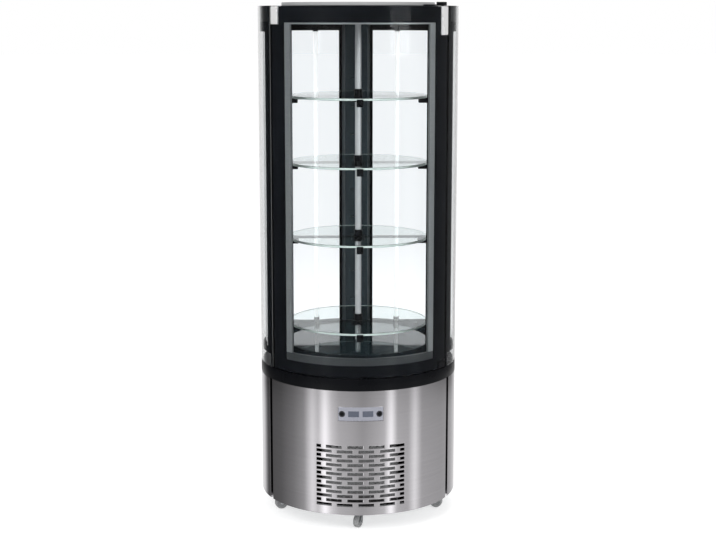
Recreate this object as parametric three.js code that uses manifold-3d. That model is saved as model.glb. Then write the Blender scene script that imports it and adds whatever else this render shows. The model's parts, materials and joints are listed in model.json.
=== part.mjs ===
// Revolving glass display cabinet: a steel drum with the refrigeration set, a round glass body with one curved
// door at the front, and a carousel of four glass shelves turned by a gearmotor.
// Millimetres, +Z up, origin on the floor under the carousel's axis, front towards -Y.
// Angles are in degrees round the axis, from the front (-Y) towards +X.
import * as THREE from "three";
import { mergeVertices } from "three/addons/utils/BufferGeometryUtils.js";
import Module from "manifold-3d";

// Whole cabinet
const overallHeight = 1754;
const bodyRadius = 340;
const castorRise = 60; // floor to the drum's lower edge
const drumHeight = 427;
const waistHeight = 40;
const deckRise = 61; // top of the waist ring to the deck
const headerHeight = 54; // printed border at the top of the glass
const lidThickness = 12;

// Clearances
const seatGap = 0.3; // between faces that rest on each other
const curveGap = 0.5; // between nested curved faces
const runningGap = 2; // round the door's edges
const overrun = 1; // by which a cutter or a joined solid passes a face
const facetAngle = 10; // every curve round the axis is a slice of a regular polygon with facets of this angle
const leastFacet = 0.2; // narrowest facet, in degrees, at the end of a slice
const smallSides = 12; // facets of small round pieces

// Steel drum
const skinThickness = 1.5;
const flangeWidth = 16;
const seamWidth = 18; // dark joint between front panel and rear shell
const frontPanelAngle = 61.3; // half of the front panel's angle
const grilleWidth = 304; // along the curve
const grilleRise = 30; // drum's lower edge to the lowest slot
const grilleRows = 14;
const fullSlots = 4; // whole slots in a row, besides one cut short
const slotPitch = 72;
const slotLength = 53;
const slotHeight = 9.5;
const rowPitch = 15.4;
const ventRows = 6;
const ventRise = 60; // drum's lower edge to the lowest rear slot
const ventLength = 90;
const ventHeight = 7;
const ventPitch = 24;
const ventAngle = 10; // from the back's middle to each column of slots

// Base pan and castors
const panThickness = 2.5;
const panRimHeight = 30;
const castorInset = 70; // drum's face to each castor's stem
const stemRadius = 5;
const stemBossRadius = 10;
const stemBossHeight = 16;
const wheelRadius = 22.5;
const wheelWidth = 18;
const wheelCrown = 2;
const wheelSides = 14;
const castorTrail = 16; // stem to axle
const axleRadius = 3;
const forkPlateRadius = 20;
const forkPlateThickness = 3;
const forkLegThickness = 2.5;
const forkLegWidth = 18;
const forkGap = 1; // wheel to each leg
const castorCount = 5;
const castorTurns = [62, 160, 35, 120, 20]; // how each castor stands, in degrees

// Waist ring and cold well
const waistWall = 4;
const waistPlate = 6;
const waistDepth = 40; // from the ring's face inwards
const waistChamfer = 1.5;
const seatDepth = 36; // drum's face to the face that the door's seal meets
const wellGap = 1; // round the well in the ring
const wellWall = 29;
const wellDepth = 137.7; // deck down to the well's underside
const wellFloor = 25;

// Deck and return grille
const deckThickness = 3.7;
const returnWidth = 58.6; // seat's face to the deck
const deckBoreRadius = 13;
const returnThickness = 7.7;
const returnLip = 8; // by which the return grille reaches under the deck
const returnSlots = 18;
const returnSlotFacets = 1; // facets of the ring under each slot
const returnSlotDepth = 15;
const returnSlotInset = 5; // deck's edge to the slots

// Posts and rear duct
const postAngle = 60.3; // the posts' edge next to the door
const postBodyAngle = 3.5;
const postFlangeAngle = 47.9; // the posts' edge behind the door
const postFlangeDepth = 8;
const ductAngle = 9; // half of the duct's angle
const ductDepth = 46; // seat's face to its inner face
const ductWall = 4;
const ductSlots = 10;
const ductSlotLength = 44;
const ductSlotHeight = 8;
const stripAngle = 4.8; // half of the cover strip between the side panes

// Glass
const outerPane = 6;
const innerPane = 4;
const unitThickness = 19.7; // outer face of the outer pane to the inner face of the inner pane
const doorAngle = 59.2; // half of the door's angle
const doorWindowAngle = 47.2; // half of the inner pane's angle
const doorSpacerWidth = 25; // along the curve
const windowDrop = 18; // deck to the lower edge of the glass units
const doorSpacerHeights = [26, 5]; // at the bottom and at the top
const sideSpacerHeights = [16, 30];
const frameInset = 1; // door frame's edge behind the outer pane's edge
const frameOpeningGap = 4; // door frame to the inner pane
const sideGap = 3.6; // door's edge to the side pane, along the curve
const sideWindowStartAngle = 64.2; // edges of the side windows' inner panes
const sideWindowEndAngle = 170.8;
const rearSpacerWidth = 9;
const rearStripGap = 1.2; // cover strip to the side panes, along the curve

// Door fittings
const hingeAngle = 55.5;
const hingeInset = 10; // outer face to the hinge axis
const pivotPinRadius = 4;
const topHingeAngle = 52.5; // edge of the top hinge away from the door's edge
const topHingeHeight = 93;
const topPinLength = 25;
const bottomHingeAngle = 51.5;
const bottomHingeHeight = 27;
const bottomPinLength = 12;
const catchAngle = 52.5;
const catchHeight = 58;
const fittingGap = 0.5;
const capAngle = 2.2; // half of the pivot cap's angle
const sealAngle = 51; // half of the seal's angle
const sealWidth = 13;
const sealBottomRise = 30; // waist ring's top to the seal
const sealTopRise = 20; // ceiling to the seal's top

// Roof, lid and lights
const roofThickness = 51.7;
const lidInset = 80; // glass's face to the lid's edge
const lidChamfer = 2;
const tubeRadius = 7;
const tubeCapRadius = 10;
const tubeCapHeight = 22;
const tubeInset = 19; // seat's face to each tube's middle
const tubeAngle = 149;

// Carousel
const spindleRadius = 10.5;
const shelfInset = 100; // glass's face to the shelves' rims
const shelfThickness = 8;
const shelfShares = [0.7809, 0.5778, 0.3462, 0.0796]; // of the window's height, to each shelf's top
const hubRadius = 24;
const hubHeight = 16;
const neckRadius = 14;
const neckRise = 20; // above the glass
const armWidth = 12;
const armHeight = 8;
const armCount = 4;
const cupLength = 38;
const cupWidth = 22;
const cupHeight = 20;
const cupLip = 4.5; // width of the lip outside the glass
const cupLipHeight = 5;
const bearingFlangeRadius = 24;
const bearingFlangeHeight = 6;
const bearingSleeveRadius = 14;
const spindleTopInset = 28; // roof's top to the spindle's end
const couplingRadius = 16;
const couplingHeight = 34;
const driveShaftRadius = 4;
const driveShaftLength = 18;
const motorWidth = 74;
const motorHeight = 52;
const motorPostRadius = 4;
const boreGap = 0.5;

// Refrigeration set
const compressorRadius = 62;
const compressorHeight = 150;
const compressorPlace = [-120, 70];
const compressorFoot = [150, 150, 4];
const condenserWidth = 250;
const condenserDepth = 45;
const condenserHeight = 200;
const condenserRise = 20; // pan's floor to the fins
const condenserSheet = 3;
const condenserInset = 40; // drum's face to the condenser
const condenserFins = 12;
const finThickness = 4;
const coilCore = 16; // depth of the condenser's solid middle
const shroudDepth = 22;
const shroudWidth = 200;
const shroudBore = 86;
const shroudGap = 1;
const fanMotorRadius = 26;
const fanMotorLength = 44;
const fanMotorArm = 12;
const fanShaftRadius = 3;
const fanRadius = 78;
const fanHubRadius = 20;
const fanHubLength = 14;
const fanBlades = 5;
const bladeThickness = 2;
const bladePitch = 24; // degrees
const bladeChordShare = 0.6; // of the blade's length
const bladeRootShare = 0.35; // half of the blade's root, of its chord
const bladeLeadShare = 0.8; // where the tip's corners are, of the fan's radius
const bladeTrailShare = 0.88;
const evaporatorWidth = 220;
const evaporatorDepth = 60;
const evaporatorHeight = 88;
const evaporatorPlace = 90; // axis to its front face
const evaporatorFins = 8;
const coolFanRadius = 40;
const coolFanHubRadius = 14;
const coolMotorRadius = 16;
const coolMotorLength = 26;

// Controller and inlet
const controlWidth = 150; // along the curve
const controlHeight = 46;
const controlDrop = 55; // drum's upper edge to the plate
const controlFace = 3.4; // plate's thickness
const controlLip = 4;
const controlInset = 0.5;
const housingWidth = 100;
const housingDepth = 34;
const displayWidth = 36;
const displayHeight = 20;
const displayDepth = 0.9;
const displayOffset = 24; // plate's middle to each display, along the curve
const buttonRadius = 6.5;
const buttonOffset = 62.5; // along the curve
const buttonFlange = 2;
const buttonFlangeHeight = 3;
const buttonGap = 0.4;
const buttonFlangeGap = 1.2; // plate's back to the button's flange
const inletFacets = 14.5; // facets from the front to the inlet's middle
const inletRise = 60; // drum's lower edge to the inlet
const inletWidth = 48;
const inletHeight = 28;
const inletDepth = 24;
const inletFlange = 6;
const inletFlangeDepth = 3;
const inletWall = 6;
const inletPocket = 16;
const inletPin = [2, 10, 6]; // width, length and height of each of the three pins
const inletPinPitch = 9;

// Levels and radii that follow
const drumBottom = castorRise;
const drumTop = drumBottom + drumHeight;
const waistTop = drumTop + waistHeight;
const deckTop = waistTop + deckRise;
const glassTop = overallHeight - lidThickness;
const windowBottom = deckTop - windowDrop;
const windowTop = glassTop - headerHeight;
const roofTop = glassTop - seatGap;
const roofBottom = roofTop - roofThickness;
const doorBottom = waistTop + runningGap;
const doorTop = glassTop - runningGap;
const outerPaneInner = bodyRadius - outerPane;
const backingRadius = outerPaneInner - curveGap; // posts, spacers and frames lie behind the outer pane
const facetReach = Math.cos(THREE.MathUtils.degToRad(facetAngle / 2)); // a facet's middle, as a share of its radius
const unitInner = bodyRadius - unitThickness;
const innerPaneOuter = unitInner + innerPane;
const hingeRadius = bodyRadius - hingeInset;
const castorOrbit = bodyRadius - castorInset;
const waistInnerRadius = bodyRadius - waistDepth;
const seatRadius = bodyRadius - seatDepth;
const wellRadius = waistInnerRadius - wellGap;
const deckRadius = seatRadius - returnWidth;
const ductRadius = seatRadius - ductDepth;
const lidRadius = bodyRadius - lidInset;
const tubeOrbit = seatRadius - tubeInset;
const shelfRadius = bodyRadius - shelfInset;
const condenserFront = bodyRadius - condenserInset;
const windowHeight = windowTop - windowBottom;

const wasm = await Module();
wasm.setup();

const radians = THREE.MathUtils.degToRad;
const angleOf = (arc, radius) => THREE.MathUtils.radToDeg(arc / radius);
const sidePaneStart = doorAngle + angleOf(sideGap, bodyRadius);
const sidePaneEnd = 180 - stripAngle - angleOf(rearStripGap, bodyRadius);

// A point at a radius and an angle round the axis.
function polar(radius, angle) {
  const turn = radians(angle);
  return new THREE.Vector2(radius * Math.sin(turn), -radius * Math.cos(turn));
}

// The same on the facetted curve of that radius, so that nested slices stay parallel.
function onCurve(radius, angle) {
  const pastLine = angle - facetAngle * Math.floor(angle / facetAngle);
  return polar((radius * facetReach) / Math.cos(radians(pastLine - facetAngle / 2)), angle);
}

// Angles of a slice's corners: both ends and every facet line between them.
function arcAngles(from, to) {
  const angles = [from];
  const firstLine = Math.ceil((from + leastFacet) / facetAngle) * facetAngle;
  for (let a = firstLine; a < to - leastFacet; a += facetAngle) angles.push(a);
  angles.push(to);
  return angles;
}

// A closed manifold solid from a three.js geometry, with its faces outwards.
function solid(geometry) {
  const bare = geometry.index ? geometry.toNonIndexed() : geometry.clone();
  bare.deleteAttribute("normal");
  bare.deleteAttribute("uv");
  const merged = mergeVertices(bare);
  const index = merged.index.array;
  const corners = [];
  for (let i = 0; i < index.length; i += 3) {
    const [a, b, c] = index.subarray(i, i + 3);
    if (a !== b && b !== c && c !== a) corners.push(a, b, c);
  }
  const build = (list) =>
    new wasm.Manifold(
      new wasm.Mesh({
        numProp: 3,
        vertProperties: merged.attributes.position.array,
        triVerts: new Uint32Array(list),
      }),
    );
  const made = build(corners);
  return made.volume() < 0 ? build(corners.reverse()) : made;
}

const join = (...parts) => parts.reduce((whole, next) => whole.add(next));
const cut = (whole, tools) => tools.reduce((rest, tool) => rest.subtract(tool), whole);

// A block of an annular sector between two radii, two angles and two heights.
function sector(inner, outer, from, to, bottom, top) {
  const angles = arcAngles(from, to);
  const outline = [
    ...angles.map((a) => onCurve(outer, a)),
    ...angles.toReversed().map((a) => onCurve(inner, a)),
  ];
  const geometry = new THREE.ExtrudeGeometry(new THREE.Shape(outline), {
    depth: top - bottom,
    bevelEnabled: false,
  });
  return solid(geometry.translate(0, 0, bottom));
}

// A sector with a window cut through it: borders at its sides, bottom and top.
function sectorFrame(inner, outer, from, to, bottom, top, opening) {
  const whole = sector(inner, outer, from, to, bottom, top);
  const window = sector(
    inner - overrun,
    outer + overrun,
    opening.from,
    opening.to,
    opening.bottom,
    opening.top,
  );
  return whole.subtract(window);
}

// A body of revolution about Z from a closed profile of [radius, height] points.
const wholeTurn = 360 / facetAngle;
function revolve(profile, sides = wholeTurn) {
  const points = [...profile, profile[0]].map(([r, z]) => new THREE.Vector2(r, z));
  return solid(new THREE.LatheGeometry(points, sides).rotateX(Math.PI / 2));
}

// A round plate with a round hole, each with its own number of sides.
function plate(bore, outer, bottom, top, outerSides, boreSides = smallSides) {
  const corners = (radius, sides) =>
    Array.from({ length: sides }, (_, i) => polar(radius, (360 / sides) * i));
  const shape = new THREE.Shape(corners(outer, outerSides));
  shape.holes.push(new THREE.Path(corners(bore, boreSides)));
  const geometry = new THREE.ExtrudeGeometry(shape, { depth: top - bottom, bevelEnabled: false });
  return solid(geometry.translate(0, 0, bottom));
}

// A round bar along Z, and one along Y, towards the back.
function bar(radius, bottom, top, sides = smallSides) {
  const geometry = new THREE.CylinderGeometry(radius, radius, top - bottom, sides);
  return geometry.rotateX(Math.PI / 2).translate(0, 0, (bottom + top) / 2);
}
const rod = (radius, bottom, top, sides) => solid(bar(radius, bottom, top, sides));
const rodBack = (radius, front, back, sides) => solid(bar(radius, front, back, sides).rotateX(-Math.PI / 2));

// A box centred on X, from y0 to y1 and from z0 to z1.
const box = (width, y0, y1, z0, z1) =>
  new THREE.BoxGeometry(width, y1 - y0, z1 - z0).translate(0, (y0 + y1) / 2, (z0 + z1) / 2);

const part = new THREE.Group();
part.name = "revolving_display_cabinet";

// Adds a named mesh with a finish of its own to a group.
function add(group, name, shape, finish) {
  const mesh = shape.getMesh();
  const geometry = new THREE.BufferGeometry();
  geometry.setAttribute("position", new THREE.BufferAttribute(mesh.vertProperties, 3));
  geometry.setIndex(new THREE.BufferAttribute(mesh.triVerts, 1));
  geometry.computeVertexNormals();
  const node = new THREE.Mesh(geometry, new THREE.MeshStandardMaterial(finish));
  node.name = name;
  group.add(node);
  return node;
}

const steel = { color: 0xa9a8aa, roughness: 0.35, metalness: 1 };
const galvanised = { color: 0x8c9094, roughness: 0.5, metalness: 1 };
const chrome = { color: 0xe4e6e8, roughness: 0.08, metalness: 1 };
const blackMetal = { color: 0x101215, roughness: 0.35, metalness: 0.3 };
const blackPlastic = { color: 0x15161a, roughness: 0.5, metalness: 0 };
const rubber = { color: 0x0c0c0d, roughness: 0.85, metalness: 0 };
const aluminium = { color: 0x9aa0a6, roughness: 0.4, metalness: 1 };
const insulation = { color: 0x7d8286, roughness: 0.6, metalness: 0.2 };
const clearGlass = { color: 0xcfe3df, roughness: 0.03, metalness: 0, transparent: true, opacity: 0.25 };
const glossDeck = { color: 0x15201f, roughness: 0.06, metalness: 0 };
const lightWhite = { color: 0xf4f8ff, roughness: 0.4, metalness: 0, emissive: 0xffffff };
const greyPlastic = { color: 0x6d7073, roughness: 0.6, metalness: 0 };
const paleMembrane = { color: 0xb9bfcb, roughness: 0.4, metalness: 0.1 };
const copperBlack = { color: 0x17181a, roughness: 0.45, metalness: 0.4 };

// Front panel and rear shell: bent sheet with folded edges all round

// A bent sheet with its folded edges, before its slots are cut.
function skin(from, to) {
  const top = drumTop - seatGap;
  const fold = bodyRadius - flangeWidth;
  const edge = angleOf(skinThickness, bodyRadius);
  const hollow = sector(
    fold - overrun,
    bodyRadius - skinThickness,
    from + edge,
    to - edge,
    drumBottom + skinThickness,
    top - skinThickness,
  );
  return sector(fold, bodyRadius, from, to, drumBottom, top).subtract(hollow);
}

// A cutter for one slot through the sheet, centred at a place along the curve.
function slotCutter(length, height, centre, bottom) {
  const depth = flangeWidth / 2;
  const slot = box(length, -bodyRadius - depth, -bodyRadius + depth, bottom, bottom + height);
  return solid(slot.rotateZ(radians(angleOf(centre, bodyRadius))));
}

// Bricks: every row has whole slots from one side and a short one at the other, by turns.
function grilleCutters() {
  const cutters = [];
  const shortLength = grilleWidth - fullSlots * slotPitch;
  for (let row = 0; row < grilleRows; row += 1) {
    const side = row % 2 ? 1 : -1;
    const bottom = drumBottom + grilleRise + row * rowPitch;
    for (let i = 0; i <= fullSlots; i += 1) {
      const length = i < fullSlots ? slotLength : shortLength;
      const centre = side * (grilleWidth / 2 - i * slotPitch - length / 2);
      cutters.push(slotCutter(length, slotHeight, centre, bottom));
    }
  }
  return cutters;
}

const controlTop = drumTop - controlDrop;
const controlBottom = controlTop - controlHeight;
const controlAngle = angleOf(controlWidth / 2, bodyRadius);

function frontPanel() {
  const margin = angleOf(fittingGap, bodyRadius);
  const opening = sector(
    bodyRadius - flangeWidth / 2,
    bodyRadius + overrun,
    -controlAngle - margin,
    controlAngle + margin,
    controlBottom - fittingGap,
    controlTop + fittingGap,
  );
  return cut(skin(-frontPanelAngle, frontPanelAngle), [...grilleCutters(), opening]);
}

const inletBottom = drumBottom + inletRise;
const inletAngle = inletFacets * facetAngle;

function rearShell() {
  const start = frontPanelAngle + angleOf(seamWidth, bodyRadius);
  const cutters = [];
  for (let row = 0; row < ventRows; row += 1) {
    for (const side of [-1, 1]) {
      const centre = bodyRadius * radians(180 + side * ventAngle);
      cutters.push(slotCutter(ventLength, ventHeight, centre, drumBottom + ventRise + row * ventPitch));
    }
  }
  const width = inletWidth + 2 * fittingGap;
  const height = inletHeight + 2 * fittingGap;
  cutters.push(slotCutter(width, height, bodyRadius * radians(inletAngle), inletBottom - fittingGap));
  return cut(skin(start, 360 - start), cutters);
}

add(part, "front_panel", frontPanel(), steel);
add(part, "rear_shell", rearShell(), steel);

// Base pan: a round tray on the folded lower edges, with bosses for the castor stems

const panBottom = drumBottom + skinThickness + seatGap;
const panTop = panBottom + panThickness;
const panRadius = bodyRadius - skinThickness - curveGap;
const castorAngles = Array.from({ length: castorCount }, (_, i) => (360 / castorCount) * i);

function basePan() {
  const rimInner = panRadius - panThickness;
  const tray = revolve([
    [0, panBottom],
    [panRadius, panBottom],
    [panRadius, panBottom + panRimHeight],
    [rimInner, panBottom + panRimHeight],
    [rimInner, panTop],
    [0, panTop],
  ]);
  const notch = angleOf(seamWidth, bodyRadius);
  const seams = [frontPanelAngle, 360 - frontPanelAngle - notch].map((from) =>
    sector(
      bodyRadius - flangeWidth - overrun,
      bodyRadius,
      from - notch / 2,
      from + notch + notch / 2,
      panBottom - overrun,
      panBottom + panRimHeight + overrun,
    ),
  );
  const bosses = castorAngles.map((a) => {
    const place = polar(castorOrbit, a);
    return solid(
      bar(stemBossRadius, panBottom + panThickness / 2, panTop + stemBossHeight).translate(place.x, place.y, 0),
    );
  });
  const bores = castorAngles.map((a) => {
    const place = polar(castorOrbit, a);
    const top = panTop + stemBossHeight + overrun;
    return solid(bar(stemRadius + boreGap, panBottom - overrun, top).translate(place.x, place.y, 0));
  });
  return cut(join(tray, ...bosses), [...seams, ...bores]);
}

add(part, "base_pan", basePan(), galvanised);

// Castors: a swivel fork with its stem and axle, and a crowned wheel

const forkTop = drumBottom + skinThickness;

function castorFork() {
  const plateBottom = forkTop - forkPlateThickness;
  const legInner = wheelWidth / 2 + forkGap;
  const legOuter = legInner + forkLegThickness;
  const legs = [-1, 1].map((side) => {
    const outline = new THREE.Shape();
    outline.moveTo(-forkLegWidth / 2, plateBottom + forkPlateThickness / 2);
    outline.lineTo(-castorTrail - axleRadius, wheelRadius + axleRadius);
    outline.absarc(-castorTrail, wheelRadius, 2 * axleRadius, Math.PI * 0.75, Math.PI * 1.75, false);
    outline.lineTo(forkLegWidth / 2, plateBottom + forkPlateThickness / 2);
    const leg = new THREE.ExtrudeGeometry(outline, {
      depth: forkLegThickness,
      bevelEnabled: false,
      curveSegments: 5,
    });
    const near = side > 0 ? legInner : -legOuter;
    return solid(leg.rotateX(Math.PI / 2).translate(0, near + forkLegThickness, 0));
  });
  const axleHalf = legOuter - forkLegThickness / 2;
  const axle = bar(axleRadius, -axleHalf, axleHalf).rotateX(Math.PI / 2);
  return join(
    rod(forkPlateRadius, plateBottom, forkTop),
    rod(stemRadius, plateBottom, panTop + stemBossHeight),
    ...legs,
    solid(axle.translate(-castorTrail, 0, wheelRadius)),
  );
}

function castorWheel() {
  const bore = axleRadius + boreGap;
  const half = wheelWidth / 2;
  const tread = half - wheelCrown;
  return revolve(
    [
      [bore, -half],
      [wheelRadius - wheelCrown, -half],
      [wheelRadius, -tread],
      [wheelRadius, tread],
      [wheelRadius - wheelCrown, half],
      [bore, half],
    ],
    wheelSides,
  );
}

const forkShape = castorFork();
const wheelShape = castorWheel();
["front", "right", "rear_right", "rear_left", "left"].forEach((name, i) => {
  const castor = new THREE.Group();
  const place = polar(castorOrbit, castorAngles[i]);
  castor.position.set(place.x, place.y, 0);
  castor.rotation.z = radians(castorTurns[i]);
  add(castor, "castor_fork_" + name, forkShape, galvanised);
  const wheel = add(castor, "castor_wheel_" + name, wheelShape, greyPlastic);
  wheel.rotation.x = Math.PI / 2;
  wheel.position.set(-castorTrail, 0, wheelRadius);
  part.add(castor);
});

// Waist ring: an upturned channel on the drum, with the door's lower pivot pin

const hingePlace = polar(hingeRadius, hingeAngle);

function waistRing() {
  const channel = revolve([
    [waistInnerRadius, drumTop],
    [waistInnerRadius + waistWall, drumTop],
    [waistInnerRadius + waistWall, waistTop - waistPlate],
    [bodyRadius - waistWall, waistTop - waistPlate],
    [bodyRadius - waistWall, drumTop],
    [bodyRadius, drumTop],
    [bodyRadius, waistTop - waistChamfer],
    [bodyRadius - waistChamfer, waistTop],
    [waistInnerRadius, waistTop],
  ]);
  const pinTop = doorBottom + bottomPinLength;
  const pin = bar(pivotPinRadius, waistTop - waistPlate / 2, pinTop);
  return join(channel, solid(pin.translate(hingePlace.x, hingePlace.y, 0)));
}

add(part, "waist_ring", waistRing(), blackMetal);

// Cold well: the insulated tub that hangs in the waist ring

const returnBottom = deckTop - returnThickness - seatGap;
const wellBottom = deckTop - wellDepth - seatGap;
const wellFloorTop = wellBottom + wellFloor;
const wellInner = wellRadius - wellWall;

function coldWell() {
  const bore = bearingSleeveRadius + boreGap;
  return revolve([
    [bore, wellBottom],
    [wellRadius, wellBottom],
    [wellRadius, waistTop + seatGap],
    [seatRadius, waistTop + seatGap],
    [seatRadius, returnBottom - seatGap],
    [wellInner, returnBottom - seatGap],
    [wellInner, wellFloorTop],
    [bore, wellFloorTop],
  ]);
}

add(part, "cold_well", coldWell(), insulation);

// Return grille round the deck, and the deck on its inner lip

const standTop = returnBottom + returnThickness; // what posts, duct and tubes stand on

function returnGrille() {
  const opening = deckRadius + seatGap + curveGap / 2;
  const lipTop = deckTop - deckThickness - seatGap;
  const whole = revolve([
    [opening - returnLip, returnBottom],
    [seatRadius, returnBottom],
    [seatRadius, standTop],
    [opening, standTop],
    [opening, lipTop],
    [opening - returnLip, lipTop],
  ]);
  const slots = [];
  const inner = opening + returnSlotInset;
  for (let i = 0; i < returnSlots; i += 1) {
    const from = (360 / returnSlots) * i;
    const to = from + returnSlotFacets * facetAngle;
    slots.push(sector(inner, inner + returnSlotDepth, from, to, returnBottom - overrun, standTop + overrun));
  }
  return cut(whole, slots);
}

add(part, "return_grille", returnGrille(), blackPlastic);
const deckShape = plate(deckBoreRadius, deckRadius, deckTop - deckThickness, deckTop, wholeTurn);
add(part, "deck", deckShape, glossDeck);

// Posts beside the door, from the waist ring to the roof, with a flange that takes the door's seal

// Two angles on the right-hand side (1) of the cabinet, or the same two on its left-hand side (-1).
const mirrored = (side, from, to) => (side > 0 ? [from, to] : [-to, -from]);

function post(side) {
  const outer = seatRadius + curveGap;
  const behind = seatRadius - postFlangeDepth;
  const end = postAngle + postBodyAngle;
  const column = mirrored(side, postAngle, end);
  const flange = mirrored(side, postFlangeAngle, end);
  return join(
    sector(outer, backingRadius, ...column, waistTop + seatGap, roofTop),
    sector(behind, outer + overrun, ...column, standTop + seatGap, roofBottom - seatGap),
    sector(behind, seatRadius, ...flange, standTop + seatGap, roofBottom - seatGap),
  );
}

add(part, "right_post", post(1), blackMetal);
add(part, "left_post", post(-1), blackMetal);

// Rear duct: a hollow column that carries the cold air up, a web, and the strip between the side panes

function rearDuct() {
  const [from, to] = [180 - ductAngle, 180 + ductAngle];
  const bottom = standTop + seatGap;
  const top = roofBottom - seatGap;
  const footBottom = waistTop + seatGap;
  const side = angleOf(ductWall, ductRadius);
  const column = sector(ductRadius, seatRadius, from, to, bottom, top);
  const behind = seatRadius + curveGap;
  const web = sector(behind, backingRadius, from, to, footBottom, roofTop);
  const tie = sector(seatRadius - overrun, behind + overrun, from, to, bottom, top);
  const strip = sector(backingRadius - overrun, bodyRadius, 180 - stripAngle, 180 + stripAngle, footBottom, roofTop);
  const hollow = sector(
    ductRadius + ductWall,
    seatRadius - ductWall,
    from + side,
    to - side,
    bottom - overrun,
    top + overrun,
  );
  const slots = [];
  const pitch = (top - bottom) / ductSlots;
  for (let i = 0; i < ductSlots; i += 1) {
    const middle = bottom + pitch * (i + 1 / 2);
    const z0 = middle - ductSlotHeight / 2;
    const slot = box(ductSlotLength, ductRadius - 2 * ductWall, ductRadius + 2 * ductWall, z0, z0 + ductSlotHeight);
    slots.push(solid(slot));
  }
  return cut(join(column, tie, web, strip), [hollow, ...slots]);
}

add(part, "rear_duct", rearDuct(), blackMetal);

// Roof with the spindle's upper bearing as a boss and its brims behind the side panes, and the lid on it

const spindleBore = spindleRadius + boreGap;

function roof() {
  const disc = plate(spindleBore, backingRadius, roofBottom, roofTop, wholeTurn);
  const bossBottom = roofBottom - bearingFlangeHeight;
  const boss = plate(spindleBore, bearingFlangeRadius, bossBottom, roofBottom + overrun, smallSides);
  const far = 180 - ductAngle - angleOf(fittingGap, bodyRadius);
  const cutters = [[-sideWindowStartAngle, sideWindowStartAngle], [far, 360 - far]].map((span) =>
    sector(seatRadius, backingRadius + overrun, ...span, roofBottom - overrun, roofTop + overrun),
  );
  return join(cut(disc, cutters), boss);
}

function lid() {
  const bottom = roofTop + seatGap;
  return revolve([
    [0, bottom],
    [lidRadius, bottom],
    [lidRadius, overallHeight - lidChamfer],
    [lidRadius - lidChamfer, overallHeight],
    [0, overallHeight],
  ]);
}

add(part, "roof", roof(), blackPlastic);
add(part, "lid", lid(), { color: 0x77797a, roughness: 0.5, metalness: 0.6 });

// Light tubes: a diffuser between two end caps, from the return grille to the ceiling

function lightTube() {
  const bottom = standTop + seatGap;
  const top = roofBottom - seatGap;
  return revolve(
    [
      [0, bottom],
      [tubeCapRadius, bottom],
      [tubeCapRadius, bottom + tubeCapHeight],
      [tubeRadius, bottom + tubeCapHeight],
      [tubeRadius, top - tubeCapHeight],
      [tubeCapRadius, top - tubeCapHeight],
      [tubeCapRadius, top],
      [0, top],
    ],
    smallSides,
  );
}

const tubeShape = lightTube();
for (const [name, side] of [["right", 1], ["left", -1]]) {
  const place = polar(tubeOrbit, side * tubeAngle);
  add(part, "light_tube_" + name, tubeShape, lightWhite).position.set(place.x, place.y, 0);
}

// Side glass: outer pane, spacer frame and inner pane

const paneEdge = seatGap + seatGap; // inner panes keep this from deck and ceiling levels
const paneBottom = windowBottom + paneEdge;
const paneTop = windowTop - paneEdge;
const spacerInner = innerPaneOuter + curveGap;

for (const [name, side] of [["right", 1], ["left", -1]]) {
  const outerSpan = mirrored(side, sidePaneStart, sidePaneEnd);
  const innerSpan = mirrored(side, sideWindowStartAngle, sideWindowEndAngle);
  const front = angleOf(doorSpacerWidth, bodyRadius);
  const rear = angleOf(rearSpacerWidth, bodyRadius);
  const window = mirrored(side, sideWindowStartAngle + front, sideWindowEndAngle - rear);
  const spacer = sectorFrame(spacerInner, backingRadius, ...innerSpan, paneBottom, paneTop, {
    from: window[0],
    to: window[1],
    bottom: paneBottom + sideSpacerHeights[0],
    top: paneTop - sideSpacerHeights[1],
  });
  const outer = sector(outerPaneInner, bodyRadius, ...outerSpan, waistTop + seatGap, glassTop);
  add(part, name + "_outer_pane", outer, clearGlass);
  add(part, name + "_inner_pane", sector(unitInner, innerPaneOuter, ...innerSpan, paneBottom, paneTop), clearGlass);
  add(part, name + "_spacer", spacer, blackMetal);
}

// Door: the same unit in a frame behind its printed border, with fittings in three corners

const door = new THREE.Group();
const frameInner = unitInner + seatGap;
const openingAngle = doorWindowAngle + angleOf(frameOpeningGap, bodyRadius);

// A fitting's block, or with a gap the cutter that makes room for it.
function fitting(from, to, bottom, top, gap = 0) {
  const margin = angleOf(gap, bodyRadius);
  const past = gap ? overrun : 0;
  const inner = frameInner - past;
  return sector(inner, bodyRadius + past, from - margin, to + margin, bottom - gap, top + gap);
}
const fittings = {
  top_hinge: [topHingeAngle, doorAngle, doorTop - topHingeHeight, doorTop],
  bottom_hinge: [bottomHingeAngle, doorAngle, doorBottom, doorBottom + bottomHingeHeight],
  door_catch: [-doorAngle, -catchAngle, doorTop - catchHeight, doorTop],
};
const room = Object.values(fittings).map((place) => fitting(...place, fittingGap));

function doorFrame() {
  const edge = doorAngle - angleOf(frameInset, bodyRadius);
  const frame = sectorFrame(frameInner, backingRadius, -edge, edge, doorBottom + frameInset, doorTop - frameInset, {
    from: -openingAngle,
    to: openingAngle,
    bottom: windowBottom - seatGap,
    top: windowTop + seatGap,
  });
  return cut(frame, room);
}

function doorSpacer() {
  const width = angleOf(doorSpacerWidth, bodyRadius);
  const half = doorWindowAngle;
  return sectorFrame(spacerInner, backingRadius, -half, half, paneBottom, paneTop, {
    from: -half + width,
    to: half - width,
    bottom: paneBottom + doorSpacerHeights[0],
    top: paneTop - doorSpacerHeights[1],
  });
}

function doorSeal() {
  const width = angleOf(sealWidth, seatRadius);
  const bottom = waistTop + sealBottomRise;
  const top = roofBottom + sealTopRise;
  return sectorFrame(seatRadius + curveGap, frameInner - curveGap, -sealAngle, sealAngle, bottom, top, {
    from: -sealAngle + width,
    to: sealAngle - width,
    bottom: bottom + sealWidth,
    top: top - sealWidth,
  });
}

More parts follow.
